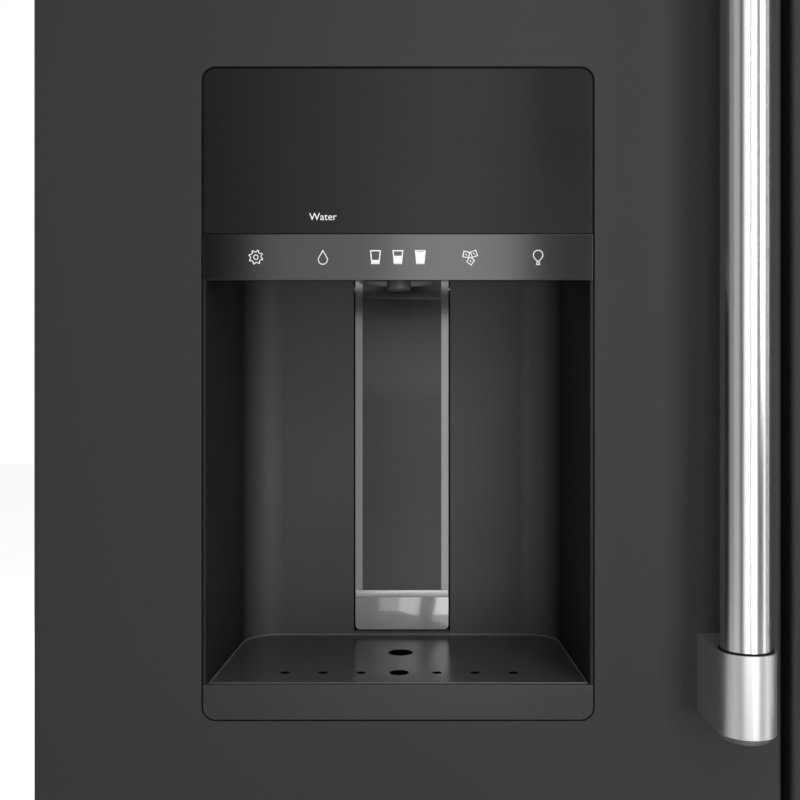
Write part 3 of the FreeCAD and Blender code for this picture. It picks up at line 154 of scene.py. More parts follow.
def value_range(tree, value, low, high, start=0.0, end=1.0):
    """Maps start..end onto low..high."""
    inputs = {"Value": value, "From Min": start, "From Max": end, "To Min": low, "To Max": high}
    return add_node(tree, "ShaderNodeMapRange", inputs).outputs["Result"]


def bump(tree, shader, height, depth, strength=1.0):
    """Feeds a height pattern to the shader's normal. Depth is in metres."""
    made = add_node(tree, "ShaderNodeBump", {"Height": height, "Distance": depth, "Strength": strength})
    tree.links.new(made.outputs["Normal"], shader.inputs["Normal"])


# %% [markdown]
# ## Painted steel
# The doors and the cabinet are steel sheet with a matte black powder coat. Baked powder flows out into a
# faint orange peel about 2 mm across, and hands leave areas that shine a little more.

# %% Painted steel
def painted_steel(name, dark, light, roughness, gloss=0.5):
    material, tree, shader = new_material(name, IOR=1.5, Specular_IOR_Level=gloss)
    peel = add_node(tree, "ShaderNodeTexNoise", {"Vector": object_place(tree), "Scale": 480.0, "Detail": 2.0})
    wear = add_node(tree, "ShaderNodeTexNoise", {"Vector": object_place(tree), "Scale": 3.2, "Detail": 4.0})
    tint = colour_range(tree, wear.outputs["Fac"], [(0.3, dark), (0.7, light)])
    tree.links.new(tint, shader.inputs["Base Color"])
    shine = value_range(tree, wear.outputs["Fac"], roughness - 0.04, roughness + 0.05, 0.3, 0.7)
    tree.links.new(shine, shader.inputs["Roughness"])
    bump(tree, shader, peel.outputs["Fac"], 0.00005, 0.35)
    return material


door_paint = painted_steel("matte_black_powder_coat", "#303032", "#333335", 0.6, 0.4)
case_paint = painted_steel("charcoal_cabinet_paint", "#3a3a3c", "#424244", 0.5)
back_paint = painted_steel("galvanised_back_sheet", "#7c7f82", "#8b8e90", 0.45)
hinge_paint = painted_steel("black_hinge_paint", "#232325", "#2b2b2d", 0.4)

# %% [markdown]
# ## Brushed stainless steel
# Handle tubes are stainless steel, polished along their length with an abrasive belt. The scratches are a
# tenth of a millimetre wide and many centimetres long, so the noise is stretched along the tube. They are
# drawn wider here than they are, so that they show.

# %% Brushed stainless steel
SCRATCH_WIDE = 0.35 * MM


def brushed_steel(name, along, base, bright, roughness):
    """Steel brushed along an axis."""
    material, tree, shader = new_material(name, Metallic=1.0)
    fine = 1 / SCRATCH_WIDE
    scale = [fine * (0.008 if axis == along else 1.0) for axis in "XYZ"]
    place = object_place(tree, scale)
    grain = add_node(tree, "ShaderNodeTexNoise", {"Vector": place, "Scale": 1.0, "Detail": 3.0})
    tint = colour_range(tree, grain.outputs["Fac"], [(0.25, base), (0.75, bright)])
    tree.links.new(tint, shader.inputs["Base Color"])
    shine = value_range(tree, grain.outputs["Fac"], roughness - 0.02, roughness + 0.03, 0.25, 0.75)
    tree.links.new(shine, shader.inputs["Roughness"])
    bump(tree, shader, grain.outputs["Fac"], 0.00002, 0.12)
    return material


handle_steel = brushed_steel("stainless_steel_brushed_upright", "Z", "#dcdcde", "#e6e6e8", 0.22)
drawer_handle_steel = brushed_steel("stainless_steel_brushed_across", "X", "#dcdcde", "#e6e6e8", 0.27)
bracket_steel = brushed_steel("satin_cast_zinc_bracket", "Z", "#dcdcde", "#ececee", 0.38)
rail_steel = brushed_steel("zinc_plated_slide_steel", "Y", "#9c9c9e", "#b4b4b6", 0.3)

# %% [markdown]
# ## Functions for moulded materials
# Most other parts are moulded, with a fine texture from the mould and a shine that varies a little where
# cloths have been. One more function colours a material along an axis, and one lets it shine by itself.

# %% Functions for moulded materials
def moulded_plastic(name, base, roughness, grit=0.4, depth=0.02, gloss=0.5, **constants):
    """A material with a texture of grit millimetres, depth millimetres deep."""
    material, tree, shader = new_material(name, IOR=1.52, Specular_IOR_Level=gloss, **constants)
    shader.inputs["Base Color"].default_value = colour(base)
    place = object_place(tree)
    grain = add_node(tree, "ShaderNodeTexNoise", {"Vector": place, "Scale": 1 / (grit * MM), "Detail": 1.0})
    cloud = add_node(tree, "ShaderNodeTexNoise", {"Vector": place, "Scale": 9.0, "Detail": 3.0})
    shine = value_range(tree, cloud.outputs["Fac"], roughness * 0.88, roughness * 1.12, 0.3, 0.7)
    tree.links.new(shine, shader.inputs["Roughness"])
    bump(tree, shader, grain.outputs["Fac"], depth * MM, 0.4)
    return material


def tint_along(material, axis, start, end, stops):
    """Colours a material by the place along an axis."""
    tree = material.node_tree
    place = add_node(tree, "ShaderNodeSeparateXYZ", {"Vector": object_place(tree)})
    along = value_range(tree, place.outputs[axis], 0.0, 1.0, start, end)
    tree.links.new(colour_range(tree, along, stops), tree.nodes["Principled BSDF"].inputs["Base Color"])


def light_up(material, strength):
    """Lets a pale material shine a little by itself."""
    shader = material.node_tree.nodes["Principled BSDF"]
    shader.inputs["Emission Color"].default_value = (1, 1, 1, 1)
    shader.inputs["Emission Strength"].default_value = strength


# %% [markdown]
# ## Plastics, foam and rubber
# The dispenser is injection moulded ABS. Its recess has a fine spark-eroded texture, and its colour is painted
# shade: darker on its sides and paler at its back, as the front light falls. The fascia is polished, the tray
# satin and its cover glossy. The smoked acrylic window
# has a painted reflection: a paler foot and a paler band near its top. The liners are white high-impact
# polystyrene, the spout acetal, the walls polyurethane foam and the gaskets vinyl.

# %% Plastics, foam and rubber
recess_plastic = moulded_plastic("black_abs_spark_textured", "#414143", 0.5, 0.5, 0.008, gloss=0.25)
# painted shade: the recess is coloured dark on its sides and pale on its back wall, standing in for how the
# front light falls in it
recess_painted_shade_stops = [(0.0, "#1c1c1e"), (1.0, "#4c4c4e")]
tint_along(recess_plastic, "Y", plate_low.y - 20 * MM, plate_low.y, recess_painted_shade_stops)
fascia_plastic = moulded_plastic("black_abs_polished", "#1b1b1d", 0.24, 3.0, 0.004, gloss=0.22)
tray_plastic = moulded_plastic("black_abs_satin_tray", "#363638", 0.3, 1.0, 0.004, gloss=0.35)
grille_plastic = moulded_plastic("black_abs_glossy_grille", "#4a4a4c", 0.22, 1.0, 0.003, gloss=0.4)
cover_plastic = moulded_plastic("charcoal_abs_textured", "#2c2c2e", 0.55, 0.6, 0.03)
liner_plastic = moulded_plastic("white_hips_liner", "#e4e6e8", 0.3, 0.8, 0.01)
trim_plastic = moulded_plastic("pale_grey_abs_trim", "#d3d6d9", 0.35, 0.6, 0.01)
spout_plastic = moulded_plastic("grey_acetal_spout", "#5a5a5c", 0.25, 0.6, 0.005)
wheel_plastic = moulded_plastic("black_nylon_wheel", "#232325", 0.5, 0.6, 0.03)
foam_filling = moulded_plastic("polyurethane_foam", "#ddd0a6", 0.9, 1.2, 0.4)
gasket_rubber = moulded_plastic("grey_vinyl_gasket", "#4a4a4d", 0.6, 0.5, 0.02)
paddle_metal = moulded_plastic("silver_plated_abs", "#727274", 0.16, 0.8, 0.001, Metallic=0.6)
smoked_window = moulded_plastic("smoked_acrylic_window", "#1c1c1b", 0.25, 2.0, 0.002, gloss=0.4)
# painted reflection: the smoked window is coloured paler at its foot and in a band near its top
window_painted_reflection_stops = [(0.0, "#2c2c2b"), (0.3, "#191918"), (0.65, "#191918")]
window_painted_reflection_stops += [(0.72, "#303030"), (0.78, "#303030"), (0.88, "#1e1e1d")]
tint_along(smoked_window, "Z", window_low.z, window_high.z, window_painted_reflection_stops)
basket_plastic = moulded_plastic("frosted_white_basket", "#dde1e4", 0.4, 0.8, 0.02)
machine_paint = moulded_plastic("black_enamel_compressor", "#1b1b1c", 0.35, 1.0, 0.02)
coil_metal = moulded_plastic("mill_aluminium_fins", "#b7b9bb", 0.4, 0.6, 0.02, Metallic=1.0)

# %% [markdown]
# ## Inks, seals, platings and painted shade
# The details have materials of their own: screen ink, black EPDM rubber, plated ABS on the paddle,
# zinc-plated screws, a brass inlet and an anodised control strip. A flat black for sheets and rings in holes
# and slots, and the black ring round the dispenser, are painted shade; the pale grey of the tray's bead is a
# painted highlight. The signs are lit from behind and the lens of the lamp glows, so both shine a little.

# %% Inks, seals and platings
white_ink = moulded_plastic("white_screen_ink", "#f4f4f4", 0.5, 0.3, 0.002)
light_up(white_ink, 0.15)
zinc_steel = moulded_plastic("zinc_plated_steel", "#b9bbbd", 0.35, 0.4, 0.005, Metallic=1.0)
lamp_lens = moulded_plastic("frosted_acrylic_lens", "#f6f7f8", 0.4, 0.6, 0.01)
light_up(lamp_lens, 0.6)
inlet_brass = moulded_plastic("machined_brass", "#c9a45c", 0.3, 0.4, 0.005, Metallic=1.0)
# black EPDM rubber for the handle rings and edge strips; the same black is painted shade in the gap round the
# dispenser
black_rubber_and_shade = moulded_plastic("black_epdm_rubber_and_painted_shade", "#0c0c0d", 0.8, 0.5, 0.02, gloss=0.2)
# painted shade: a flat black for the sheet under the tray's cover, the rings in its holes and the sheet behind
# the toe grille
painted_shade_black = moulded_plastic("painted_shade_flat_black", "#050505", 0.95, 0.3, 0.05, gloss=0.05)
# painted highlight: the pale grey of the bead stands for the light on the tray's rim
rim_highlight_grey = moulded_plastic("grey_abs_bead_painted_highlight", "#707072", 0.3, 0.6, 0.004)
foot_plate = moulded_plastic("polished_plated_abs", "#b0b0b2", 0.1, 0.8, 0.001, Metallic=0.2)
bright_plate = moulded_plastic("bright_plated_abs", "#dcdcde", 0.35, 0.8, 0.002, Metallic=0.4)
touch_metal = moulded_plastic("dark_anodised_strip", "#525254", 0.15, 4.0, 0.001, Metallic=1.0)

# %% [markdown]
# ## Clear parts
# Bins and crispers are clear polystyrene and the shelves are toughened soda lime glass. Both let the light
# through and show mostly at their edges. The glass is slightly green.

# %% Clear parts
def clear_material(name, tint, roughness, ior, alpha):
    material, tree, shader = new_material(name, IOR=ior, Roughness=roughness, Alpha=alpha)
    shader.inputs["Base Color"].default_value = colour(tint)
    shader.inputs["Transmission Weight"].default_value = 0.35
    haze = add_node(tree, "ShaderNodeTexNoise", {"Vector": object_place(tree), "Scale": 14.0, "Detail": 2.0})
    shine = value_range(tree, haze.outputs["Fac"], roughness * 0.7, roughness * 1.4, 0.3, 0.7)
    tree.links.new(shine, shader.inputs["Roughness"])
    return material


clear_plastic = clear_material("clear_polystyrene", "#e6eef4", 0.08, 1.55, 0.42)
shelf_glass = clear_material("toughened_soda_lime_glass", "#cfe9e2", 0.04, 1.52, 0.35)

# %% [markdown]
# ## Finishes on the frame
# Each part of the frame gets the material of the real part, in its own material slots. Its shape and place
# stay as they are.

# %% Finishes on the frame
FINISHES = {
    door_paint: ["left_door_skin", "right_door_skin", "drawer_skin"],
    case_paint: ["outer_case", "base_frame"],
    back_paint: ["back_panel", "machine_cover"],
    hinge_paint: ["door_hinges"],
    handle_steel: ["left_handle_bar", "right_handle_bar"],
    drawer_handle_steel: ["drawer_handle_bar"],
    bracket_steel: ["left_handle_brackets", "right_handle_brackets", "drawer_handle_brackets"],
    rail_steel: ["drawer_rails"],
    recess_plastic: ["dispenser_housing"],
    fascia_plastic: ["dispenser_fascia"],
    touch_metal: ["control_strip"],
    tray_plastic: ["drip_tray"],
    grille_plastic: ["drip_grille"],
    cover_plastic: ["hinge_covers", "toe_grille", "freezer_slides", "evaporator_fan", "mullion_flap"],
    liner_plastic: [
        "fridge_liner",
        "freezer_liner",
        "evaporator_cover",
        "left_door_liner",
        "right_door_liner",
        "drawer_liner",
    ],
    trim_plastic: ["shelf_frames", "ice_maker"],
    spout_plastic: ["water_spout", "ice_chute", "chute_gate"],
    wheel_plastic: ["left_rear_roller", "right_rear_roller", "left_levelling_foot", "right_levelling_foot"],
    foam_filling: ["case_foam", "left_door_foam", "right_door_foam", "drawer_foam"],
    gasket_rubber: ["left_door_gasket", "right_door_gasket", "drawer_gasket"],
    paddle_metal: ["paddle_plate"],
    smoked_window: ["paddle_window"],
    basket_plastic: ["drawer_basket", "upper_basket", "ice_bucket"],
    machine_paint: ["compressor"],
    coil_metal: ["condenser", "evaporator"],
    clear_plastic: ["left_door_bins", "right_door_bins", "left_crisper", "right_crisper"],
    shelf_glass: ["shelf_glass"],
}
for material, names in FINISHES.items():
    for name in names:
        for material_slot in nodes[name].material_slots:
            material_slot.material = material
finished = [name for names in FINISHES.values() for name in names]
print("no finish yet:", sorted(set(nodes) - set(finished)))

# %% [markdown]
# ## Modelling helpers
# Every added piece starts as a primitive at its size and place and is then shaped in edit mode, as by hand.
# The helpers select one object alone, make the first shape, choose faces or edges by the corners of their
# box, and change what is chosen.

# %% Modelling helpers
TINY = 0.01 * MM
SHARP = math.radians(35)
CABINET = "root"


def alone(piece):
    """Leaves edit mode and selects one object."""
    if bpy.context.mode != "OBJECT":
        bpy.ops.object.mode_set(mode="OBJECT")
    bpy.ops.object.select_all(action="DESELECT")
    piece.select_set(True)
    bpy.context.view_layer.objects.active = piece


def settle(name):
    """Puts the new object's place into its mesh and names it."""
    piece = bpy.context.object
    alone(piece)
    bpy.ops.object.transform_apply(location=True, rotation=True, scale=True)
    piece.name = name
    return piece


def start_block(name, low, high):
    low, high = Vector(low), Vector(high)
    bpy.ops.mesh.primitive_cube_add(size=1, location=(low + high) / 2, scale=high - low)
    return settle(name)


def start_sheet(name, low, high, turn=(0, 0, 0)):
    """A flat rectangle between two corners. Turned about X by 90 degrees it faces -Y."""
    low, high = Vector(low), Vector(high)
    size = high - low
    bpy.ops.mesh.primitive_plane_add(size=1, location=(low + high) / 2, rotation=turn)
    sheet = bpy.context.object
    sheet.scale = (size.x, size.z if turn[0] else size.y, 1)
    return settle(name)


def start_tube(name, centre, radius, length, sides=48, turn=(0, 0, 0), ends="NGON"):
    bpy.ops.mesh.primitive_cylinder_add(
        vertices=sides, radius=radius, depth=length, location=centre, rotation=turn, end_fill_type=ends
    )
    return settle(name)


def box_of(corners):
    """The lowest and the highest corner of some places."""
    return [Vector([end(c[i] for c in corners) for i in range(3)]) for end in (min, max)]


def pick(piece, kind, test=lambda low, high: True):
    """Enters edit mode and chooses the faces, edges or points whose box of corners passes a test, or all."""
    alone(piece)
    bpy.ops.object.mode_set(mode="EDIT")
    bpy.ops.mesh.select_mode(type=kind)
    bpy.ops.mesh.select_all(action="DESELECT")
    bpy.ops.object.mode_set(mode="OBJECT")
    mesh = piece.data
    for part in {"FACE": mesh.polygons, "EDGE": mesh.edges, "VERT": mesh.vertices}[kind]:
        corners = [part.co] if kind == "VERT" else [mesh.vertices[i].co for i in part.vertices]
        part.select = test(*box_of(corners))
    bpy.ops.object.mode_set(mode="EDIT")


def pick_front(piece):
    """Chooses the faces furthest to the front."""
    front = min(v.co.y for v in piece.data.vertices)
    pick(piece, "FACE", lambda low, high: high.y < front + TINY)


def pick_under(piece):
    """Chooses the lowest faces."""
    under = min(v.co.z for v in piece.data.vertices)
    pick(piece, "FACE", lambda low, high: high.z < under + TINY)


def inset(thickness, depth=0.0, each=False):
    """Insets the chosen faces together, or each by itself."""
    bpy.ops.mesh.inset(thickness=thickness, depth=depth, use_individual=each)


def stretch(factors, centre):
    """Scales what is chosen about a centre."""
    bpy.ops.transform.resize(value=factors, center_override=centre)


def round_points(radius, segments):
    """Rounds the chosen corners of a flat shape."""
    bpy.ops.mesh.bevel(offset=radius, segments=segments, affect="VERTICES")


def delete_faces():
    bpy.ops.mesh.delete(type="FACE")


def drag(x=0.0, y=0.0, z=0.0):
    """Extrudes what is chosen by a step."""
    bpy.ops.mesh.extrude_region_move(TRANSFORM_OT_translate={"value": (x, y, z)})


def to_line(piece, line=0.5 * MM):
    """Leaves only a line along the edge of a flat shape."""
    pick(piece, "FACE")
    inset(line)
    delete_faces()
    bpy.ops.object.mode_set(mode="OBJECT")


# %% [markdown]
# ## Finishing helpers
# The next helpers work on a whole piece: a modifier is applied at once, a sheet gets its wall, edges are
# rounded, and pieces are joined or copied. The last one gives a piece its material and its body.

# %% Finishing helpers
def apply_modifier(piece, kind, **settings):
    alone(piece)
    modifier = piece.modifiers.new(kind.lower(), kind)
    for name, value in settings.items():
        setattr(modifier, name, value)
    bpy.ops.object.modifier_apply(modifier=modifier.name)


def thicken(piece, thickness, offset=1.0):
    """Recalculates a sheet's normals and gives it a wall, outward or with an offset of -1 inward."""
    pick(piece, "FACE")
    bpy.ops.mesh.normals_make_consistent(inside=False)
    apply_modifier(piece, "SOLIDIFY", thickness=thickness, offset=offset)


def round_edges(piece, width, segments=2):
    apply_modifier(piece, "BEVEL", width=width, segments=segments, limit_method="ANGLE", angle_limit=SHARP)


def hand_over(piece, material, body, slot, *replaced):
    """Shades a finished piece, paints it and lets it ride on its body."""
    alone(piece)
    bpy.ops.object.shade_smooth_by_angle(angle=SHARP)
    piece.data.materials.clear()
    piece.data.materials.append(material)
    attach(piece, body)
    if replaced:
        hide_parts(*replaced)
    size = [round(v / MM, 1) for v in piece.dimensions]
    print(f"{piece.name}: {size} mm, {len(piece.data.polygons)} faces")


def join(name, pieces):
    alone(pieces[0])
    for piece in pieces:
        piece.select_set(True)
    if len(pieces) > 1:
        bpy.ops.object.join()
    bpy.context.object.name = name
    return bpy.context.object


def copy_of(piece, name, step):
    """A copy with its own mesh, moved by a step that goes into the mesh."""
    alone(piece)
    bpy.ops.object.duplicate()
    twin = bpy.context.object
    twin.location = step
    return settle(name)


# %% [markdown]
# ## Painted shade around the dispenser
# The dispenser sits in a cut-out of the steel door with a one millimetre gap. A black ring behind the sheet
# fills the gap as painted shade, so that from outside it is the dark shadow line around the unit. It is a
# rounded rectangle, inset to a ring and given its depth.

# %% Painted shade around the dispenser
FACING_FRONT = (math.radians(90), 0, 0)
SHADE_RING_WIDE = 4.2 * MM
SHADE_RING_DEEP = 9 * MM
SHADE_RING_CORNER = 11 * MM
SHADE_RING_SLACK = 0.1 * MM
SHEET_THICK = 1.4 * MM
sheet_back = face_y + SHEET_THICK
margin = Vector((SHADE_RING_WIDE, 0, SHADE_RING_WIDE))
low = Vector((housing_low.x, sheet_back, housing_low.z)) - margin
high = Vector((housing_high.x, sheet_back, housing_high.z)) + margin
shade_ring = start_sheet("dispenser_shade_ring", low, high, FACING_FRONT)
pick(shade_ring, "VERT")
round_points(SHADE_RING_CORNER, 6)
to_line(shade_ring, SHADE_RING_WIDE - SHADE_RING_SLACK)
thicken(shade_ring, SHADE_RING_DEEP, -1.0)
hand_over(shade_ring, black_rubber_and_shade, "left_door", "gasket_rubber")

# %% [markdown]
# ## Signs on the control strip
# The touch keys are marked with pale screen-printed line drawings nine millimetres high. Each outline starts
# as a circle or a square, is shaped by moving its points, and is then inset to a line. The ink is drawn
# thicker than the real hundredth of a millimetre, so that it stands clear of the strip.

# %% Helpers for printed signs
INK = 0.06 * MM
sign_y = strip_low.y - 0.02 * MM
sign_z = (strip_low.z + strip_high.z) / 2


def outline_circle(name, x, z, radius, sides=32):
    bpy.ops.mesh.primitive_circle_add(
        vertices=sides, radius=radius, fill_type="NGON", location=(x, sign_y, z), rotation=FACING_FRONT
    )
    return settle(name)


def outline_square(name, x, z, wide, tall, lean=0.0):
    """A rectangle facing the front, leaning by an angle in degrees."""
    bpy.ops.mesh.primitive_plane_add(
        size=1, location=(x, sign_y, z), rotation=(math.radians(90), math.radians(lean), 0)
    )
    bpy.context.object.scale = (wide, tall, 1)
    return settle(name)


def print_sign(name, shapes):
    """Joins flat shapes into one sign with the thickness of the ink."""
    sign = join(name, shapes)
    thicken(sign, INK)
    hand_over(sign, white_ink, "left_door", "liner_plastic")


# %% [markdown]
# ## Gear and drop
# The gear is a circle of 32 points with two of every four drawn in, and a smaller ring in its middle. The
# drop is a circle whose top points are lifted onto two straight lines that meet at its tip.

# %% Gear and drop
KEY_GEAR = door_low.x + 134.4 * MM
KEY_DROP = door_low.x + 174.7 * MM
KEY_GLASS = door_low.x + 219.8 * MM
KEY_CUBES = door_low.x + 263.2 * MM
KEY_LAMP = door_low.x + 304.1 * MM

gear = outline_circle("gear", KEY_GEAR, sign_z, 4.5 * MM)
hub = (KEY_GEAR, sign_y, sign_z)


def in_valley(low, high):
    """Two neighbouring points of every four on the circle."""
    angle = math.atan2(low.z - sign_z, low.x - KEY_GEAR)
    return round(angle / (2 * math.pi) * 32 + 64) % 4 < 2


pick(gear, "VERT", in_valley)
stretch((0.76, 1, 0.76), hub)
to_line(gear)
gear_hole = outline_circle("gear_hole", KEY_GEAR, sign_z, 1.6 * MM, 24)
to_line(gear_hole)
print_sign("sign_settings", [gear, gear_hole])

drop_z = sign_z - 1.5 * MM
drop = outline_circle("drop", KEY_DROP, drop_z, 3.0 * MM)
for height, lift in ((3.0, 3.0), (2.94, 2.05), (2.77, 1.24), (2.49, 0.62), (2.12, 0.21)):
    pick(drop, "VERT", lambda low, high: abs(low.z - drop_z - height * MM) < 0.04 * MM)
    bpy.ops.transform.translate(value=(0, 0, lift * MM))
to_line(drop)
print_sign("sign_water", [drop])

# %% [markdown]
# ## Glasses, ice cubes and lamp
# Three glasses filled one after the other stand for filling by itself. A glass is a rectangle with its foot
# drawn in, and the water in it a smaller one that stays solid. Three leaning squares with a glint each are
# the ice, and the lamp is a circle drawn down to its screw base.

# %% Glasses, ice cubes and lamp
GLASS_TALL = 8.4 * MM
GLASS_STEP = 13.5
glass_foot = sign_z - GLASS_TALL / 2
glasses = []
for step, filled in ((-GLASS_STEP, 0.3), (0.0, 0.6), (GLASS_STEP, 0.88)):
    x = KEY_GLASS + step * MM
    for role in ("wall", "water"):
        tall = GLASS_TALL * (1.0 if role == "wall" else filled)
        wide = 6.6 * MM if role == "wall" else 5.0 * MM
        glass = outline_square(f"glass_{role}", x, glass_foot + tall / 2, wide, tall)
        pick(glass, "EDGE", lambda low, high: high.z < glass_foot + 0.1 * MM)
        stretch((0.74, 1, 1), (x, sign_y, sign_z))
        bpy.ops.object.mode_set(mode="OBJECT")
        if role == "wall":
            to_line(glass, 0.7 * MM)
        glasses.append(glass)
print_sign("sign_fill", glasses)

cubes = []
for dx, dz, lean in ((-2.3, 1.6, 12), (2.4, 2.0, -20), (0.3, -2.3, 38)):
    cube = outline_square("ice", KEY_CUBES + dx * MM, sign_z + dz * MM, 3.9 * MM, 3.9 * MM, lean)
    to_line(cube)
    cubes.append(cube)
    glint = outline_square("glint", KEY_CUBES + dx * MM, sign_z + dz * MM, 1.4 * MM, 0.45 * MM, lean + 45)
    cubes.append(glint)
print_sign("sign_ice", cubes)

lamp = outline_circle("lamp", KEY_LAMP, sign_z + 1.3 * MM, 3.1 * MM)
pick(lamp, "VERT", lambda low, high: low.z < sign_z - 0.6 * MM)
stretch((0.62, 1, 1), (KEY_LAMP, sign_y, sign_z))
bpy.ops.transform.translate(value=(0, 0, -1.0 * MM))
to_line(lamp)
lamp_foot = outline_square("lamp_foot", KEY_LAMP, sign_z - 3.9 * MM, 2.3 * MM, 1.5 * MM)
to_line(lamp_foot, 0.42 * MM)
print_sign("sign_light", [lamp, lamp_foot])

# %% [markdown]
# ## A word above the strip
# The fascia shows in plain letters what the unit is about to give. The word is a text object, made a mesh
# before its place is applied.

# %% The word
word_place = (KEY_DROP, fascia_low.y - 0.02 * MM, sign_z + 22.4 * MM)
bpy.ops.object.text_add(location=word_place, rotation=FACING_FRONT)
word = bpy.context.object
word.data.body = "Water"
word.data.size = 6.2 * MM
word.data.align_x = "CENTER"
word.data.resolution_u = 4
alone(word)
bpy.ops.object.convert(target="MESH")
word = settle("word_water")
thicken(word, INK)
hand_over(word, white_ink, "left_door", "liner_plastic")

# %% [markdown]
# ## Bead of the drip tray
# A thin raised bead runs round the top of the drip tray and keeps spilt water in. Its pale grey is a painted
# highlight, the light along the tray's rim. It is the tray's outline with round back corners, inset to a line.

# %% Tray bead
TRAY_CORNER = 23 * MM
BEAD_WIDE = 1.1 * MM
BEAD_TALL = 0.9 * MM
TAPER = 3 * MM
tray_low, tray_high = low_high("drip_tray")
grille_low, grille_high = low_high("drip_grille")
bead = start_sheet(
    "drip_tray_bead",
    (grille_low.x - 0.2 * MM, tray_low.y + 3.2 * MM, grille_high.z),
    (grille_high.x + 0.2 * MM, grille_high.y + 0.2 * MM, grille_high.z),
)
tray_mid = (tray_low + tray_high) / 2
half = (grille_high.x - grille_low.x) / 2
pick(bead, "EDGE", lambda low, high: low.y > grille_high.y - 1 * MM)
stretch((1 - TAPER / half, 1, 1), tray_mid)
pick(bead, "VERT", lambda low, high: low.y > grille_high.y - 1 * MM)
round_points(TRAY_CORNER, 10)
to_line(bead, BEAD_WIDE)
thicken(bead, BEAD_TALL)
round_edges(bead, 0.3 * MM)
hand_over(bead, rim_highlight_grey, "drip_tray", "tray_plastic")

# %% [markdown]
# ## Painted shade under the grille
# A flat black sheet under the tray's cover is painted shade, so that the holes read dark. It has the same
# outline as the cover, a little smaller.

# %% Painted shade under the grille
SHADE_SHEET_INSIDE = 9 * MM
shade_sheet_z = grille_low.z - 1.2 * MM
hole_shade_sheet = start_sheet(
    "hole_shade_sheet",
    (grille_low.x + SHADE_SHEET_INSIDE, grille_low.y + SHADE_SHEET_INSIDE, shade_sheet_z),
    (grille_high.x - SHADE_SHEET_INSIDE, grille_high.y - SHADE_SHEET_INSIDE, shade_sheet_z),
)
pick(hole_shade_sheet, "EDGE", lambda low, high: low.y > grille_high.y - 10 * MM)
stretch((1 - 2 * TAPER / half, 1, 1), tray_mid)
pick(hole_shade_sheet, "VERT")
round_points(12 * MM, 5)
thicken(hole_shade_sheet, 0.8 * MM)
hand_over(hole_shade_sheet, painted_shade_black, "drip_tray", "tray_plastic")

# %% [markdown]
# ## Paddle
# The paddle's window ends below in a bright bar over a polished foot, which a glass touches first, and above
# in a smoked tab that covers the pivot. All three start as blocks.

# %% Paddle bar, foot and window tab
rim = 5.3 * MM
bar = start_block(
    "paddle_bar",
    (window_low.x - rim, plate_low.y - 0.7 * MM, window_low.z - rim),
    (window_high.x + rim, plate_low.y + 0.4 * MM, window_low.z - 0.2 * MM),
)
pick_front(bar)
inset(0.5 * MM, 0.3 * MM)
round_edges(bar, 0.15 * MM)
hand_over(bar, bright_plate, "paddle", "paddle_metal")

foot = start_block(
    "paddle_foot",
    (window_low.x - rim, plate_low.y - 0.25 * MM, plate_low.z + 0.2 * MM),
    (window_high.x + rim, plate_low.y + 0.4 * MM, window_low.z - rim - 0.1 * MM),
)
pick(foot, "EDGE", lambda low, high: high.z < plate_low.z + 0.3 * MM and high.x - low.x < TINY)
bpy.ops.mesh.bevel(offset=3.4 * MM, segments=5)
round_edges(foot, 0.1 * MM)
hand_over(foot, foot_plate, "paddle", "paddle_metal")

tab = start_block(
    "paddle_window_tab",
    (window_low.x, plate_low.y - 0.35 * MM, window_high.z - 0.3 * MM),
    (window_high.x, plate_low.y + 0.4 * MM, plate_high.z - 1.0 * MM),
)
pick_front(tab)
inset(0.6 * MM, 0.1 * MM)
round_edges(tab, 0.12 * MM)
hand_over(tab, smoked_window, "paddle", "smoked_window")

# %% [markdown]
# ## Seams of the handles
# Each tube enters its end bracket with a small shadow gap, closed by a black ring that keeps the tube from
# rattling. The ring is an open cylinder with a wall and soft edges.

# %% Handle rings
CAP_TALL = 50 * MM
RING_TALL = 1.6 * MM
RING_WALL = 0.9 * MM
rings = []
for side, body in (("left", "left_door"), ("right", "right_door")):
    cap_low, cap_high = low_high(f"{side}_handle_brackets")
    bar_mid = middle(f"{side}_handle_bar")
    for end, z in (("low", cap_low.z + CAP_TALL), ("high", cap_high.z - CAP_TALL)):
        rings.append((f"{side}_handle_ring_{end}", (bar_mid.x, bar_mid.y, z), (0, 0, 0), body))
cap_low, cap_high = low_high("drawer_handle_brackets")
bar_mid = middle("drawer_handle_bar")
ACROSS = (0, math.radians(90), 0)
for end, x in (("left", cap_low.x + CAP_TALL), ("right", cap_high.x - CAP_TALL)):
    rings.append((f"drawer_handle_ring_{end}", (x, bar_mid.y, bar_mid.z), ACROSS, "freezer_drawer"))
tube_low, tube_high = low_high("left_handle_bar")
TUBE_RADIUS = (tube_high.x - tube_low.x) / 2
for name, centre, turn, body in rings:
    ring = start_tube(name, centre, TUBE_RADIUS + 0.1 * MM, RING_TALL, 64, turn, "NOTHING")
    thicken(ring, RING_WALL)
    round_edges(ring, 0.25 * MM)
    hand_over(ring, black_rubber_and_shade, body, "gasket_rubber")

# %% [markdown]
# ## Moulded tubs
# Door bins, crispers and baskets are injection-moulded with thin walls, a little draft, round corners and a
# rim folded over for stiffness. One function shapes them all from a block: the top is opened, the foot drawn
# in, corners and foot rounded, the rim turned outward and down, and the sheet given its wall.

# %% Functions for tubs
def levels_of(node):
    """Corners of a part's solids that stand clear above each other, from the lowest up."""
    corners = [v.co for v in nodes[node].data.vertices]
    faces = nodes[node].data.polygons
    spans = sorted(
        (min(corners[i].z for i in face.vertices), max(corners[i].z for i in face.vertices)) for face in faces
    )
    merged = [list(spans[0])]
    for bottom, top in spans[1:]:
        if bottom <= merged[-1][1] + TINY:
            merged[-1][1] = max(merged[-1][1], top)
        else:
            merged.append([bottom, top])
    boxes = []
    for bottom, top in merged:
        boxes.append(box_of([c for c in corners if bottom - TINY <= c.z <= top + TINY]))
    return boxes


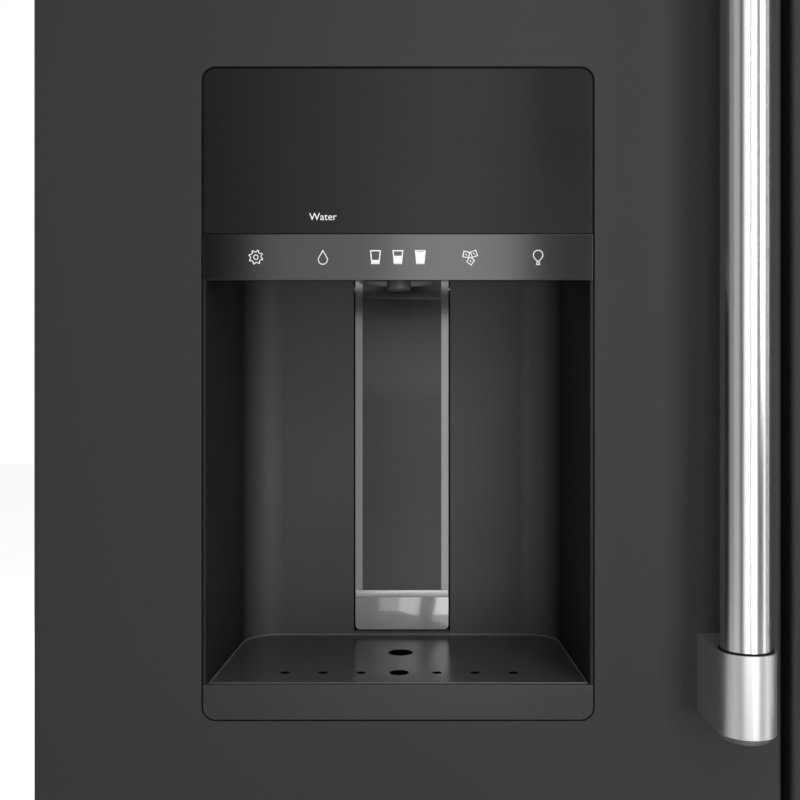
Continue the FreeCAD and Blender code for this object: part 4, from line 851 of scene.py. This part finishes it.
def moulded_tub(name, low, high, corner=14 * MM, rim=5 * MM, wall=2.5 * MM, cuts=0):
    """An open tub in a box. Cuts is the number of cuts that divide each side for slots."""
    fold = Vector((rim, rim, 0))
    tub = start_block(name, low + fold, high - fold)
    centre = (low + high) / 2
    tall = high.z - low.z
    pick(tub, "FACE", lambda a, b: a.z > high.z - TINY)
    delete_faces()
    pick_under(tub)
    stretch((0.975, 0.975, 1), centre)
    pick(tub, "EDGE", lambda a, b: b.z - a.z > 0.9 * tall)
    bpy.ops.mesh.bevel(offset=corner, segments=5)
    if cuts:
        pick(tub, "FACE", lambda a, b: b.z - a.z > 0.9 * tall and max(b.x - a.x, b.y - a.y) > 4 * corner)
        bpy.ops.mesh.subdivide(number_cuts=cuts)
        row = tall / (cuts + 1)
        pick(
            tub,
            "FACE",
            lambda a, b: b.z - a.z < 1.2 * row
            and a.z > low.z + 1.5 * row
            and b.z < high.z - 1.5 * row
            and max(b.x - a.x, b.y - a.y) > corner,
        )
        inset(0.27 * row, each=True)
        delete_faces()
    pick(tub, "EDGE", lambda a, b: b.z < low.z + TINY)
    bpy.ops.mesh.bevel(offset=8 * MM, segments=3)
    pick(tub, "EDGE", lambda a, b: a.z > high.z - TINY)
    drag()
    wide, deep = high.x - low.x, high.y - low.y
    widen = (wide / (wide - 2 * rim), deep / (deep - 2 * rim), 1)
    stretch(widen, centre)
    drag(z=-7 * MM)
    bpy.ops.mesh.select_all(action="SELECT")
    bpy.ops.mesh.normals_make_consistent(inside=False)
    alone(tub)
    foot = min(tub.data.polygons, key=lambda face: face.center.z)
    if foot.normal.z > 0:
        pick(tub, "FACE")
        bpy.ops.mesh.flip_normals()
    apply_modifier(tub, "SOLIDIFY", thickness=wall, offset=-1.0)
    round_edges(tub, 0.5 * MM)
    return tub


# %% [markdown]
# ## Door bins
# The left door has two clear bins, above and below the ice box, and the right door four. Each is shaped in
# the place of the plain bin that it stands for.

# %% Door bins
BIN_CORNER = 18 * MM
for side in ("left", "right"):
    node = f"{side}_door_bins"
    bins = [moulded_tub(f"{side}_bin", low, high, BIN_CORNER) for low, high in levels_of(node)]
    hand_over(join(f"{side}_moulded_bins", bins), clear_plastic, f"{side}_door", "clear_bin", node)

# %% [markdown]
# ## Crispers
# Each crisper is a clear tub behind a thicker front, which has a wide finger pull under
# a rounded top. The front starts as a block, is rounded, and gets its pull by an inset pushed inward.

# %% Crispers
FRONT_THICK = 9 * MM
for side in ("left", "right"):
    node = f"{side}_crisper"
    low, high = low_high(node)
    front = start_block(f"{side}_front", low, (high.x, low.y + FRONT_THICK, high.z))
    pick_front(front)
    inset(16 * MM)
    pull_place = ((low.x + high.x) / 2, low.y, high.z - 26 * MM)
    stretch((0.7, 1, 0.16), pull_place)
    inset(2.5 * MM, -6 * MM)
    round_edges(front, 2.2 * MM, 3)
    tub_low = Vector((low.x, low.y + FRONT_THICK - MM, low.z))
    tub = moulded_tub(f"{side}_tub", tub_low, high - Vector((0, 0, 8 * MM)))
    hand_over(join(f"{side}_crisper_drawer", [front, tub]), clear_plastic, node, "clear_bin", node)

# %% [markdown]
# ## Freezer baskets
# The two baskets are frosted plastic with rows of slots, so that cold air passes through. A side is divided
# into a grid, and each of its middle faces inset and deleted.

# %% Freezer baskets
for node, body, cuts in (("drawer_basket", "freezer_drawer", 9), ("upper_basket", "upper_basket", 5)):
    low, high = low_high(node)
    basket = moulded_tub(f"slotted_{node}", low, high, 26 * MM, 7 * MM, 2.5 * MM, cuts)
    hand_over(basket, basket_plastic, body, "basket_plastic", node)

# %% [markdown]
# ## Embossed back
# The back sheet is stiffened by two fields that are pressed outward. Each starts as a sheet with round
# corners, and its slopes are insets with a depth.

# %% Embossed back
back_low, back_high = low_high("back_panel")
cover_low, cover_high = low_high("machine_cover")
FACING_BACK = (math.radians(-90), 0, 0)
back_y = back_high.y
field_low_z = cover_high.z + 60 * MM
field_high_z = back_high.z - 60 * MM
FIELD_ASIDE = 50 * MM
FIELD_APART = 50 * MM
FIELD_SLOPE = 9 * MM
fields = []
left_field = (back_low.x + FIELD_ASIDE, -FIELD_APART / 2)
right_field = (FIELD_APART / 2, back_high.x - FIELD_ASIDE)
for start, end in (left_field, right_field):
    field = start_sheet("field", (start, back_y, field_low_z), (end, back_y, field_high_z), FACING_BACK)
    pick(field, "VERT")
    round_points(40 * MM, 6)
    pick(field, "FACE")
    inset(FIELD_SLOPE, 3.5 * MM)
    inset(14 * MM)
    inset(FIELD_SLOPE, -2.6 * MM)
    thicken(field, 0.5 * MM)
    fields.append(field)
hand_over(join("back_embossing", fields), back_paint, CABINET, "back_steel")

# %% [markdown]
# ## Screws
# Washer-head screws stand in two columns on the back sheet, in three pairs on the machine cover, and in twos
# on the hinge covers. One is modelled at the first place, with its head and socket inset from the washer,
# and copied to the others.

# %% Screws
BACKWARD = Vector((0, 1, 0))
UPWARD = Vector((0, 0, 1))


def washer_screws(name, axis, places, material, slot):
    """Screws that face along an axis and ride on the cabinet."""
    turn = FACING_BACK if axis == BACKWARD else (0, 0, 0)
    first = Vector(places[0])
    screw = start_tube(name, first + axis * 0.6 * MM, 5.5 * MM, 1.2 * MM, 24, turn)
    reach = first.dot(axis) + 1.1 * MM
    pick(screw, "FACE", lambda a, b: a.dot(axis) > reach)
    inset(1.6 * MM)
    drag(*(axis * 2.4 * MM))
    inset(0.9 * MM, 0.5 * MM)
    inset(1.2 * MM, -1.2 * MM)
    alone(screw)
    copies = [copy_of(screw, name, Vector(place) - first) for place in places[1:]]
    hand_over(join(name, [screw] + copies), material, CABINET, slot)


places = []
for step in range(7):
    z = back_low.z + 25 * MM + step * (back_high.z - back_low.z - 50 * MM) / 6
    if z > cover_high.z + 5 * MM:
        places += [(back_low.x + 14 * MM, back_y, z), (back_high.x - 14 * MM, back_y, z)]
washer_screws("back_screws", BACKWARD, places, zinc_steel, "back_steel")
places = []
for x in (cover_low.x + 16 * MM, 0.0, cover_high.x - 16 * MM):
    for z in (cover_low.z + 14 * MM, cover_high.z - 14 * MM):
        places.append((x, cover_high.y, z))
washer_screws("cover_screws", BACKWARD, places, zinc_steel, "machine_steel")
hood_low, hood_high = low_high("hinge_covers")
places = []
for side in (-1, 1):
    for step in (22, 62):
        places.append((side * (hood_high.x - 20 * MM), hood_low.y + step * MM, hood_high.z))
washer_screws("hinge_cover_screws", UPWARD, places, hinge_paint, "cover_plastic")

# %% [markdown]
# ## Water inlet
# A turned brass nipple with a flange takes the water line. Its thread is a stack of short extrusions, made
# wider and narrower in turn, and its bore an inset pushed in.

# %% Water inlet
INLET_ASIDE = 345 * MM
INLET_DOWN = 70 * MM
INLET = Vector((cover_high.x - INLET_ASIDE, cover_high.y, cover_high.z - INLET_DOWN))
inlet = start_tube("water_inlet", INLET + Vector((0, 0.8 * MM, 0)), 15 * MM, 1.6 * MM, 36, FACING_BACK)
pick(inlet, "FACE", lambda a, b: a.y > INLET.y + 1.5 * MM)
inset(5 * MM)
for widen in (1.0, 1.12, 1.0, 1.12, 1.0, 1.12, 1.0):
    drag(y=0.9 * MM)
    stretch((widen, 1, widen), INLET)
    drag(y=0.1 * MM)
    stretch((1 / widen, 1, 1 / widen), INLET)
inset(3 * MM)
inset(0.3 * MM, -6 * MM)
hand_over(inlet, inlet_brass, CABINET, "machine_steel")

# %% [markdown]
# ## Power inlet
# The lead plugs into a rounded black socket with three flat pins, so that the refrigerator can be moved
# without it.

# %% Power inlet
SOCKET = Vector((cover_low.x + INLET_ASIDE, cover_high.y, cover_high.z - INLET_DOWN))
socket = start_block(
    "power_inlet", SOCKET - Vector((25 * MM, 0.5 * MM, 15 * MM)), SOCKET + Vector((25 * MM, 8 * MM, 15 * MM))
)
pick(socket, "FACE", lambda a, b: a.y > SOCKET.y + 7.9 * MM)
inset(11 * MM)
stretch((0.9, 1, 2.1), SOCKET)
inset(0.2 * MM, -7 * MM)
round_edges(socket, 1.2 * MM)
blades = []
for dx, dz in ((-7, -1.5), (0, 2.5), (7, -1.5)):
    at = SOCKET + Vector((dx * MM, 0, dz * MM))
    blade = start_block("blade", at - Vector((MM, 0, 2 * MM)), at + Vector((MM, 6 * MM, 2 * MM)))
    round_edges(blade, 0.4 * MM)
    blades.append(blade)
hand_over(socket, cover_plastic, CABINET, "machine_steel")
hand_over(join("power_inlet_blades", blades), zinc_steel, CABINET, "machine_steel")

# %% [markdown]
# ## Duct cover
# Cold air comes from a duct cover high on the back wall of the fresh food room. Its face is divided into a
# grid, and two columns of its cells on each side are pushed in as slots.

# %% Duct cover
room_low, room_high = low_high("fridge_liner")
glass_high = low_high("shelf_glass")[1]
LINER_WALL = 2.5 * MM
wall_y = room_high.y - LINER_WALL
ceiling_z = room_high.z - LINER_WALL
duct_low = Vector((-90 * MM, wall_y - 13 * MM, glass_high.z + 45 * MM))
duct_high = Vector((90 * MM, wall_y, ceiling_z - 35 * MM))
duct = start_block("air_duct_cover", duct_low, duct_high)
pick_front(duct)
inset(9 * MM)
inset(3 * MM, -2 * MM)
bpy.ops.mesh.subdivide(number_cuts=7)


def in_vent(a, b):
    narrow = (duct_high.x - duct_low.x) / 9
    away = abs((a.x + b.x) / 2)
    row = (b.z + a.z) / 2
    flat = b.y - a.y < TINY and a.y < duct_low.y + 3 * MM and b.z - a.z > 15 * MM
    return flat and 1.5 * narrow < away < 3.5 * narrow and duct_low.z + 30 * MM < row < duct_high.z - 30 * MM


pick(duct, "FACE", in_vent)
inset(3.2 * MM, each=True)
inset(0.4 * MM, -6 * MM, each=True)
round_edges(duct, 1.2 * MM)
hand_over(duct, trim_plastic, CABINET, "liner_plastic")

# %% [markdown]
# ## Ceiling lamp and key pad
# A frosted lens covers the lamp in the ceiling. Before it, near the doors, five blank keys on a flat pad set
# the temperatures.

# %% Ceiling lamp and key pad
lens_low = Vector((-150 * MM, -110 * MM, ceiling_z - 7 * MM))
lens_high = Vector((150 * MM, -20 * MM, ceiling_z))
lens = start_block("ceiling_lamp", lens_low, lens_high)
pick_under(lens)
inset(6 * MM)
inset(2 * MM, 1.5 * MM)
inset(3 * MM, -1.0 * MM)
round_edges(lens, 1.5 * MM, 3)
hand_over(lens, lamp_lens, CABINET, "liner_plastic")

pad_low = Vector((-120 * MM, room_low.y + 22 * MM, ceiling_z - 9 * MM))
pad_high = Vector((120 * MM, room_low.y + 58 * MM, ceiling_z))
pad = start_block("key_pad", pad_low, pad_high)
pick_under(pad)
inset(3 * MM)
round_edges(pad, 2.0 * MM, 3)
keys = []
for step in range(5):
    x = (step - 2) * 42 * MM
    key_low = Vector((x - 11 * MM, pad_low.y + 10 * MM, pad_low.z - 1.2 * MM))
    key_high = Vector((x + 11 * MM, pad_high.y - 10 * MM, pad_low.z + 0.5 * MM))
    key = start_block("key", key_low, key_high)
    pick_under(key)
    inset(1.5 * MM, -0.4 * MM)
    round_edges(key, 0.5 * MM)
    keys.append(key)
hand_over(pad, trim_plastic, CABINET, "liner_plastic")
hand_over(join("key_pad_keys", keys), spout_plastic, CABINET, "liner_plastic")

# %% [markdown]
# ## Water filter
# The filter is a cartridge under a saddle in the top right corner, where a quarter turn of its wing releases
# it. The body is a cylinder with a stepped cap.

# %% Water filter
FILTER = Vector((room_high.x - 48 * MM, -40 * MM, ceiling_z - 42 * MM))
FILTER_RADIUS = 29 * MM
FILTER_LONG = 250 * MM
water_filter = start_tube("water_filter", FILTER, FILTER_RADIUS, FILTER_LONG, 48, FACING_FRONT)
front_y = FILTER.y - FILTER_LONG / 2
pick_front(water_filter)
drag(y=-2 * MM)
stretch((0.9, 1, 0.9), FILTER)
drag(y=-14 * MM)
inset(6 * MM)
inset(2 * MM, -3 * MM)
pick(water_filter, "FACE", lambda a, b: a.y > FILTER.y + FILTER_LONG / 2 - TINY)
inset(4 * MM, 3 * MM)
round_edges(water_filter, 1.0 * MM)
wing = start_block(
    "filter_wing",
    (FILTER.x - 20 * MM, front_y - 22 * MM, FILTER.z - 3 * MM),
    (FILTER.x + 20 * MM, front_y - 10 * MM, FILTER.z + 3 * MM),
)
round_edges(wing, 2.0 * MM, 3)
saddle = start_block(
    "filter_saddle",
    (FILTER.x - 22 * MM, FILTER.y - 70 * MM, FILTER.z + 20 * MM),
    (FILTER.x + 22 * MM, FILTER.y + 90 * MM, ceiling_z),
)
round_edges(saddle, 3.0 * MM, 3)
hand_over(join("water_filter_cartridge", [water_filter, wing]), liner_plastic, CABINET, "liner_plastic")
hand_over(saddle, trim_plastic, CABINET, "liner_plastic")

# %% [markdown]
# ## Vents of the freezer
# The evaporator's cover is a white moulding whose front blows cold air over the baskets through two fields
# of slots. Each field is a raised plate divided into bars.

# %% Freezer vents
duct_low, duct_high = low_high("evaporator_cover")
vents = []
for side in (-1, 1):
    plate_mid = side * 200 * MM
    plate_low_corner = Vector((plate_mid - 110 * MM, duct_low.y - 3 * MM, duct_low.z + 40 * MM))
    plate_high_corner = Vector((plate_mid + 110 * MM, duct_low.y + 0.5 * MM, duct_high.z - 30 * MM))
    vent = start_block("freezer_vent", plate_low_corner, plate_high_corner)
    pick_front(vent)
    inset(5 * MM)
    bpy.ops.mesh.subdivide(number_cuts=5)
    pick(vent, "FACE", lambda a, b: b.y < plate_low_corner.y + TINY and 20 * MM < b.x - a.x < 60 * MM)
    inset(3 * MM, each=True)
    inset(0.3 * MM, -2.5 * MM, each=True)
    round_edges(vent, 0.8 * MM)
    vents.append(vent)
hand_over(join("freezer_vents", vents), trim_plastic, CABINET, "liner_plastic")

# %% [markdown]
# ## Edge strips
# A black vinyl strip closes the edge of each door and of the drawer front, between steel and liner. It is a
# band left from a block, thickened outward.

# %% Edge strips
STRIP_THICK = 0.3 * MM
for front, body in (("left_door", "left_door"), ("right_door", "right_door"), ("drawer", "freezer_drawer")):
    low, high = low_high(f"{front}_liner")
    seam_y = low_high(f"{front}_skin")[1].y
    high.y = seam_y + 3.2 * MM
    low.y = seam_y - 0.6 * MM
    edge = start_block(f"{body}_edge_strip", low, high)
    pick(edge, "FACE", lambda a, b: b.y - a.y < TINY)
    delete_faces()
    apply_modifier(edge, "SOLIDIFY", thickness=STRIP_THICK, offset=1.0)
    round_edges(edge, 0.08 * MM, 1)
    hand_over(edge, black_rubber_and_shade, body, "gasket_rubber")

# %% [markdown]
# ## Painted shade behind the toe grille
# A flat black sheet behind the toe grille is painted shade, so that nothing bright shows through the slots.

# %% Painted shade behind the toe grille
toe_low, toe_high = low_high("toe_grille")
grille_shade_sheet = start_block(
    "grille_shade_sheet",
    (toe_low.x + 14 * MM, toe_low.y + 9 * MM, toe_low.z + 2 * MM),
    (toe_high.x - 14 * MM, toe_low.y + 16 * MM, toe_high.z - 2 * MM),
)
pick_front(grille_shade_sheet)
inset(3 * MM, -1 * MM)
round_edges(grille_shade_sheet, 0.8 * MM)
hand_over(grille_shade_sheet, painted_shade_black, CABINET, "cover_plastic")

# %% [markdown]
# ## Painted shade in the holes
# Each hole in the drip tray's cover gets a thin black ring, an open cylinder with a wall, as painted shade
# that makes the hole read dark.

# %% Painted shade in the holes
HOLE_ROW = face_y + 29 * MM
HOLE_REAR = face_y + 80 * MM
holes = [(dispenser_x, HOLE_ROW, 6.25 * MM), (dispenser_x, HOLE_REAR, 8.5 * MM)]
HOLE_STEP = 24 * MM
for step in (-3, -2, -1, 1, 2, 3):
    holes.append((dispenser_x + step * HOLE_STEP, HOLE_ROW, 3.0 * MM))
hole_shades = []
grille_mid_z = (grille_low.z + grille_high.z) / 2
for x, y, radius in holes:
    liner = start_tube("liner", (x, y, grille_mid_z), radius - 0.2 * MM, 2.4 * MM, 32, ends="NOTHING")
    apply_modifier(liner, "SOLIDIFY", thickness=0.36 * MM, offset=0.0)
    round_edges(liner, 0.08 * MM, 1)
    hole_shades.append(liner)
hand_over(join("hole_painted_shades", hole_shades), painted_shade_black, "drip_tray", "tray_plastic")

# %% [markdown]
# ## Floor
# The refrigerator stands in a white studio, on a pale floor that runs out into a white backdrop.

# %% Floor
bpy.ops.mesh.primitive_plane_add(size=30, location=(0, 0, 0))
floor = bpy.context.object
floor.name = "studio_floor"
floor_paint, floor_tree, floor_shader = new_material("pale_studio_floor", Roughness=0.7)
floor_shader.inputs["Base Color"].default_value = colour("#e4e4e4")
floor_shader.inputs["Emission Color"].default_value = (1, 1, 1, 1)
seen = add_node(floor_tree, "ShaderNodeLightPath")
paleness = value_range(floor_tree, seen.outputs["Is Camera Ray"], 0.0, 0.9)
floor_tree.links.new(paleness, floor_shader.inputs["Emission Strength"])
floor.data.materials.append(floor_paint)

# %% [markdown]
# ## Lights
# A black steel door shows what stands before it, so the lights are few and soft. Three tall softboxes behind
# the camera are the bright middle of the glossy panels and light the back of the recess. A near one at the
# right makes the door lighter towards its handle, and panels at the left draw the long highlights on the
# steel tubes. A small lamp under the roof of the recess lights its back wall, as the real one does.

# %% Lights
def softbox(name, place, aim, size, watts):
    """A rectangular area light at a place, turned to face another."""
    bpy.ops.object.light_add(type="AREA", location=place)
    light = bpy.context.object
    light.name = name
    light.data.shape = "RECTANGLE"
    light.data.size, light.data.size_y = size
    light.data.energy = watts
    light.rotation_euler = (Vector(aim) - Vector(place)).to_track_quat("-Z", "Y").to_euler()
    light.visible_camera = False


FRONT_Y = -1.25
FRONT_Z = 1.29
FRONT_TALL = 1.42
FRONT_LIGHTS = (("_left", -0.36, 0.2, 0.95), ("", -0.165, 0.19, 1.95), ("_right", 0.23, 0.3, 4.8))
for end, x, wide, watts in FRONT_LIGHTS:
    softbox(f"softbox_front{end}", (x, FRONT_Y, FRONT_Z), (x, face_y, FRONT_Z), (wide, FRONT_TALL), watts)
softbox("softbox_near_right", (1.15, -0.9, 1.1), (0.0, face_y, 1.1), (0.3, 1.8), 2.3)
softbox("strip_left", (-1.3, -0.56, 1.1), (0.0, face_y - 0.04, 1.1), (0.3, 2.0), 0.5)
softbox("panel_left", (-0.95, -1.0, 1.1), (0.0, face_y - 0.04, 1.1), (0.55, 2.0), 1.5)
roof_z = strip_low.z + 21 * MM
lamp_place = (dispenser_x, face_y + 0.075, roof_z)
softbox("dispenser_lamp", lamp_place, (dispenser_x, face_y + 0.11, roof_z - 0.08), (0.19, 0.02), 0.028)
softbox("softbox_far_right", (3.2, -2.6, 2.2), (0.3, 0, 0.8), (1.2, 2.4), 28)
softbox("softbox_far_left", (-3.4, 0.5, 2.0), (-0.4, 0.1, 0.9), (1.0, 2.4), 25)
softbox("softbox_top", (0.2, 0.2, 4.2), (0, 0, 1.0), (3.0, 3.0), 60)
softbox("softbox_back", (-1.4, 3.6, 2.0), (0, 0.4, 1.0), (2.2, 2.4), 60)

# %% [markdown]
# ## World
# The backdrop is white to the eye, but it lights the object only a little, so the steel keeps its dark tone.

# %% World
world = bpy.data.worlds.new("studio")
bpy.context.scene.world = world
world.use_nodes = True
backdrop = world.node_tree.nodes["Background"]
path = add_node(world.node_tree, "ShaderNodeLightPath")
strength = value_range(world.node_tree, path.outputs["Is Camera Ray"], 0.06, 1.0)
backdrop.inputs["Color"].default_value = (1, 1, 1, 1)
world.node_tree.links.new(strength, backdrop.inputs["Strength"])
bpy.context.scene.view_settings.view_transform = "Standard"
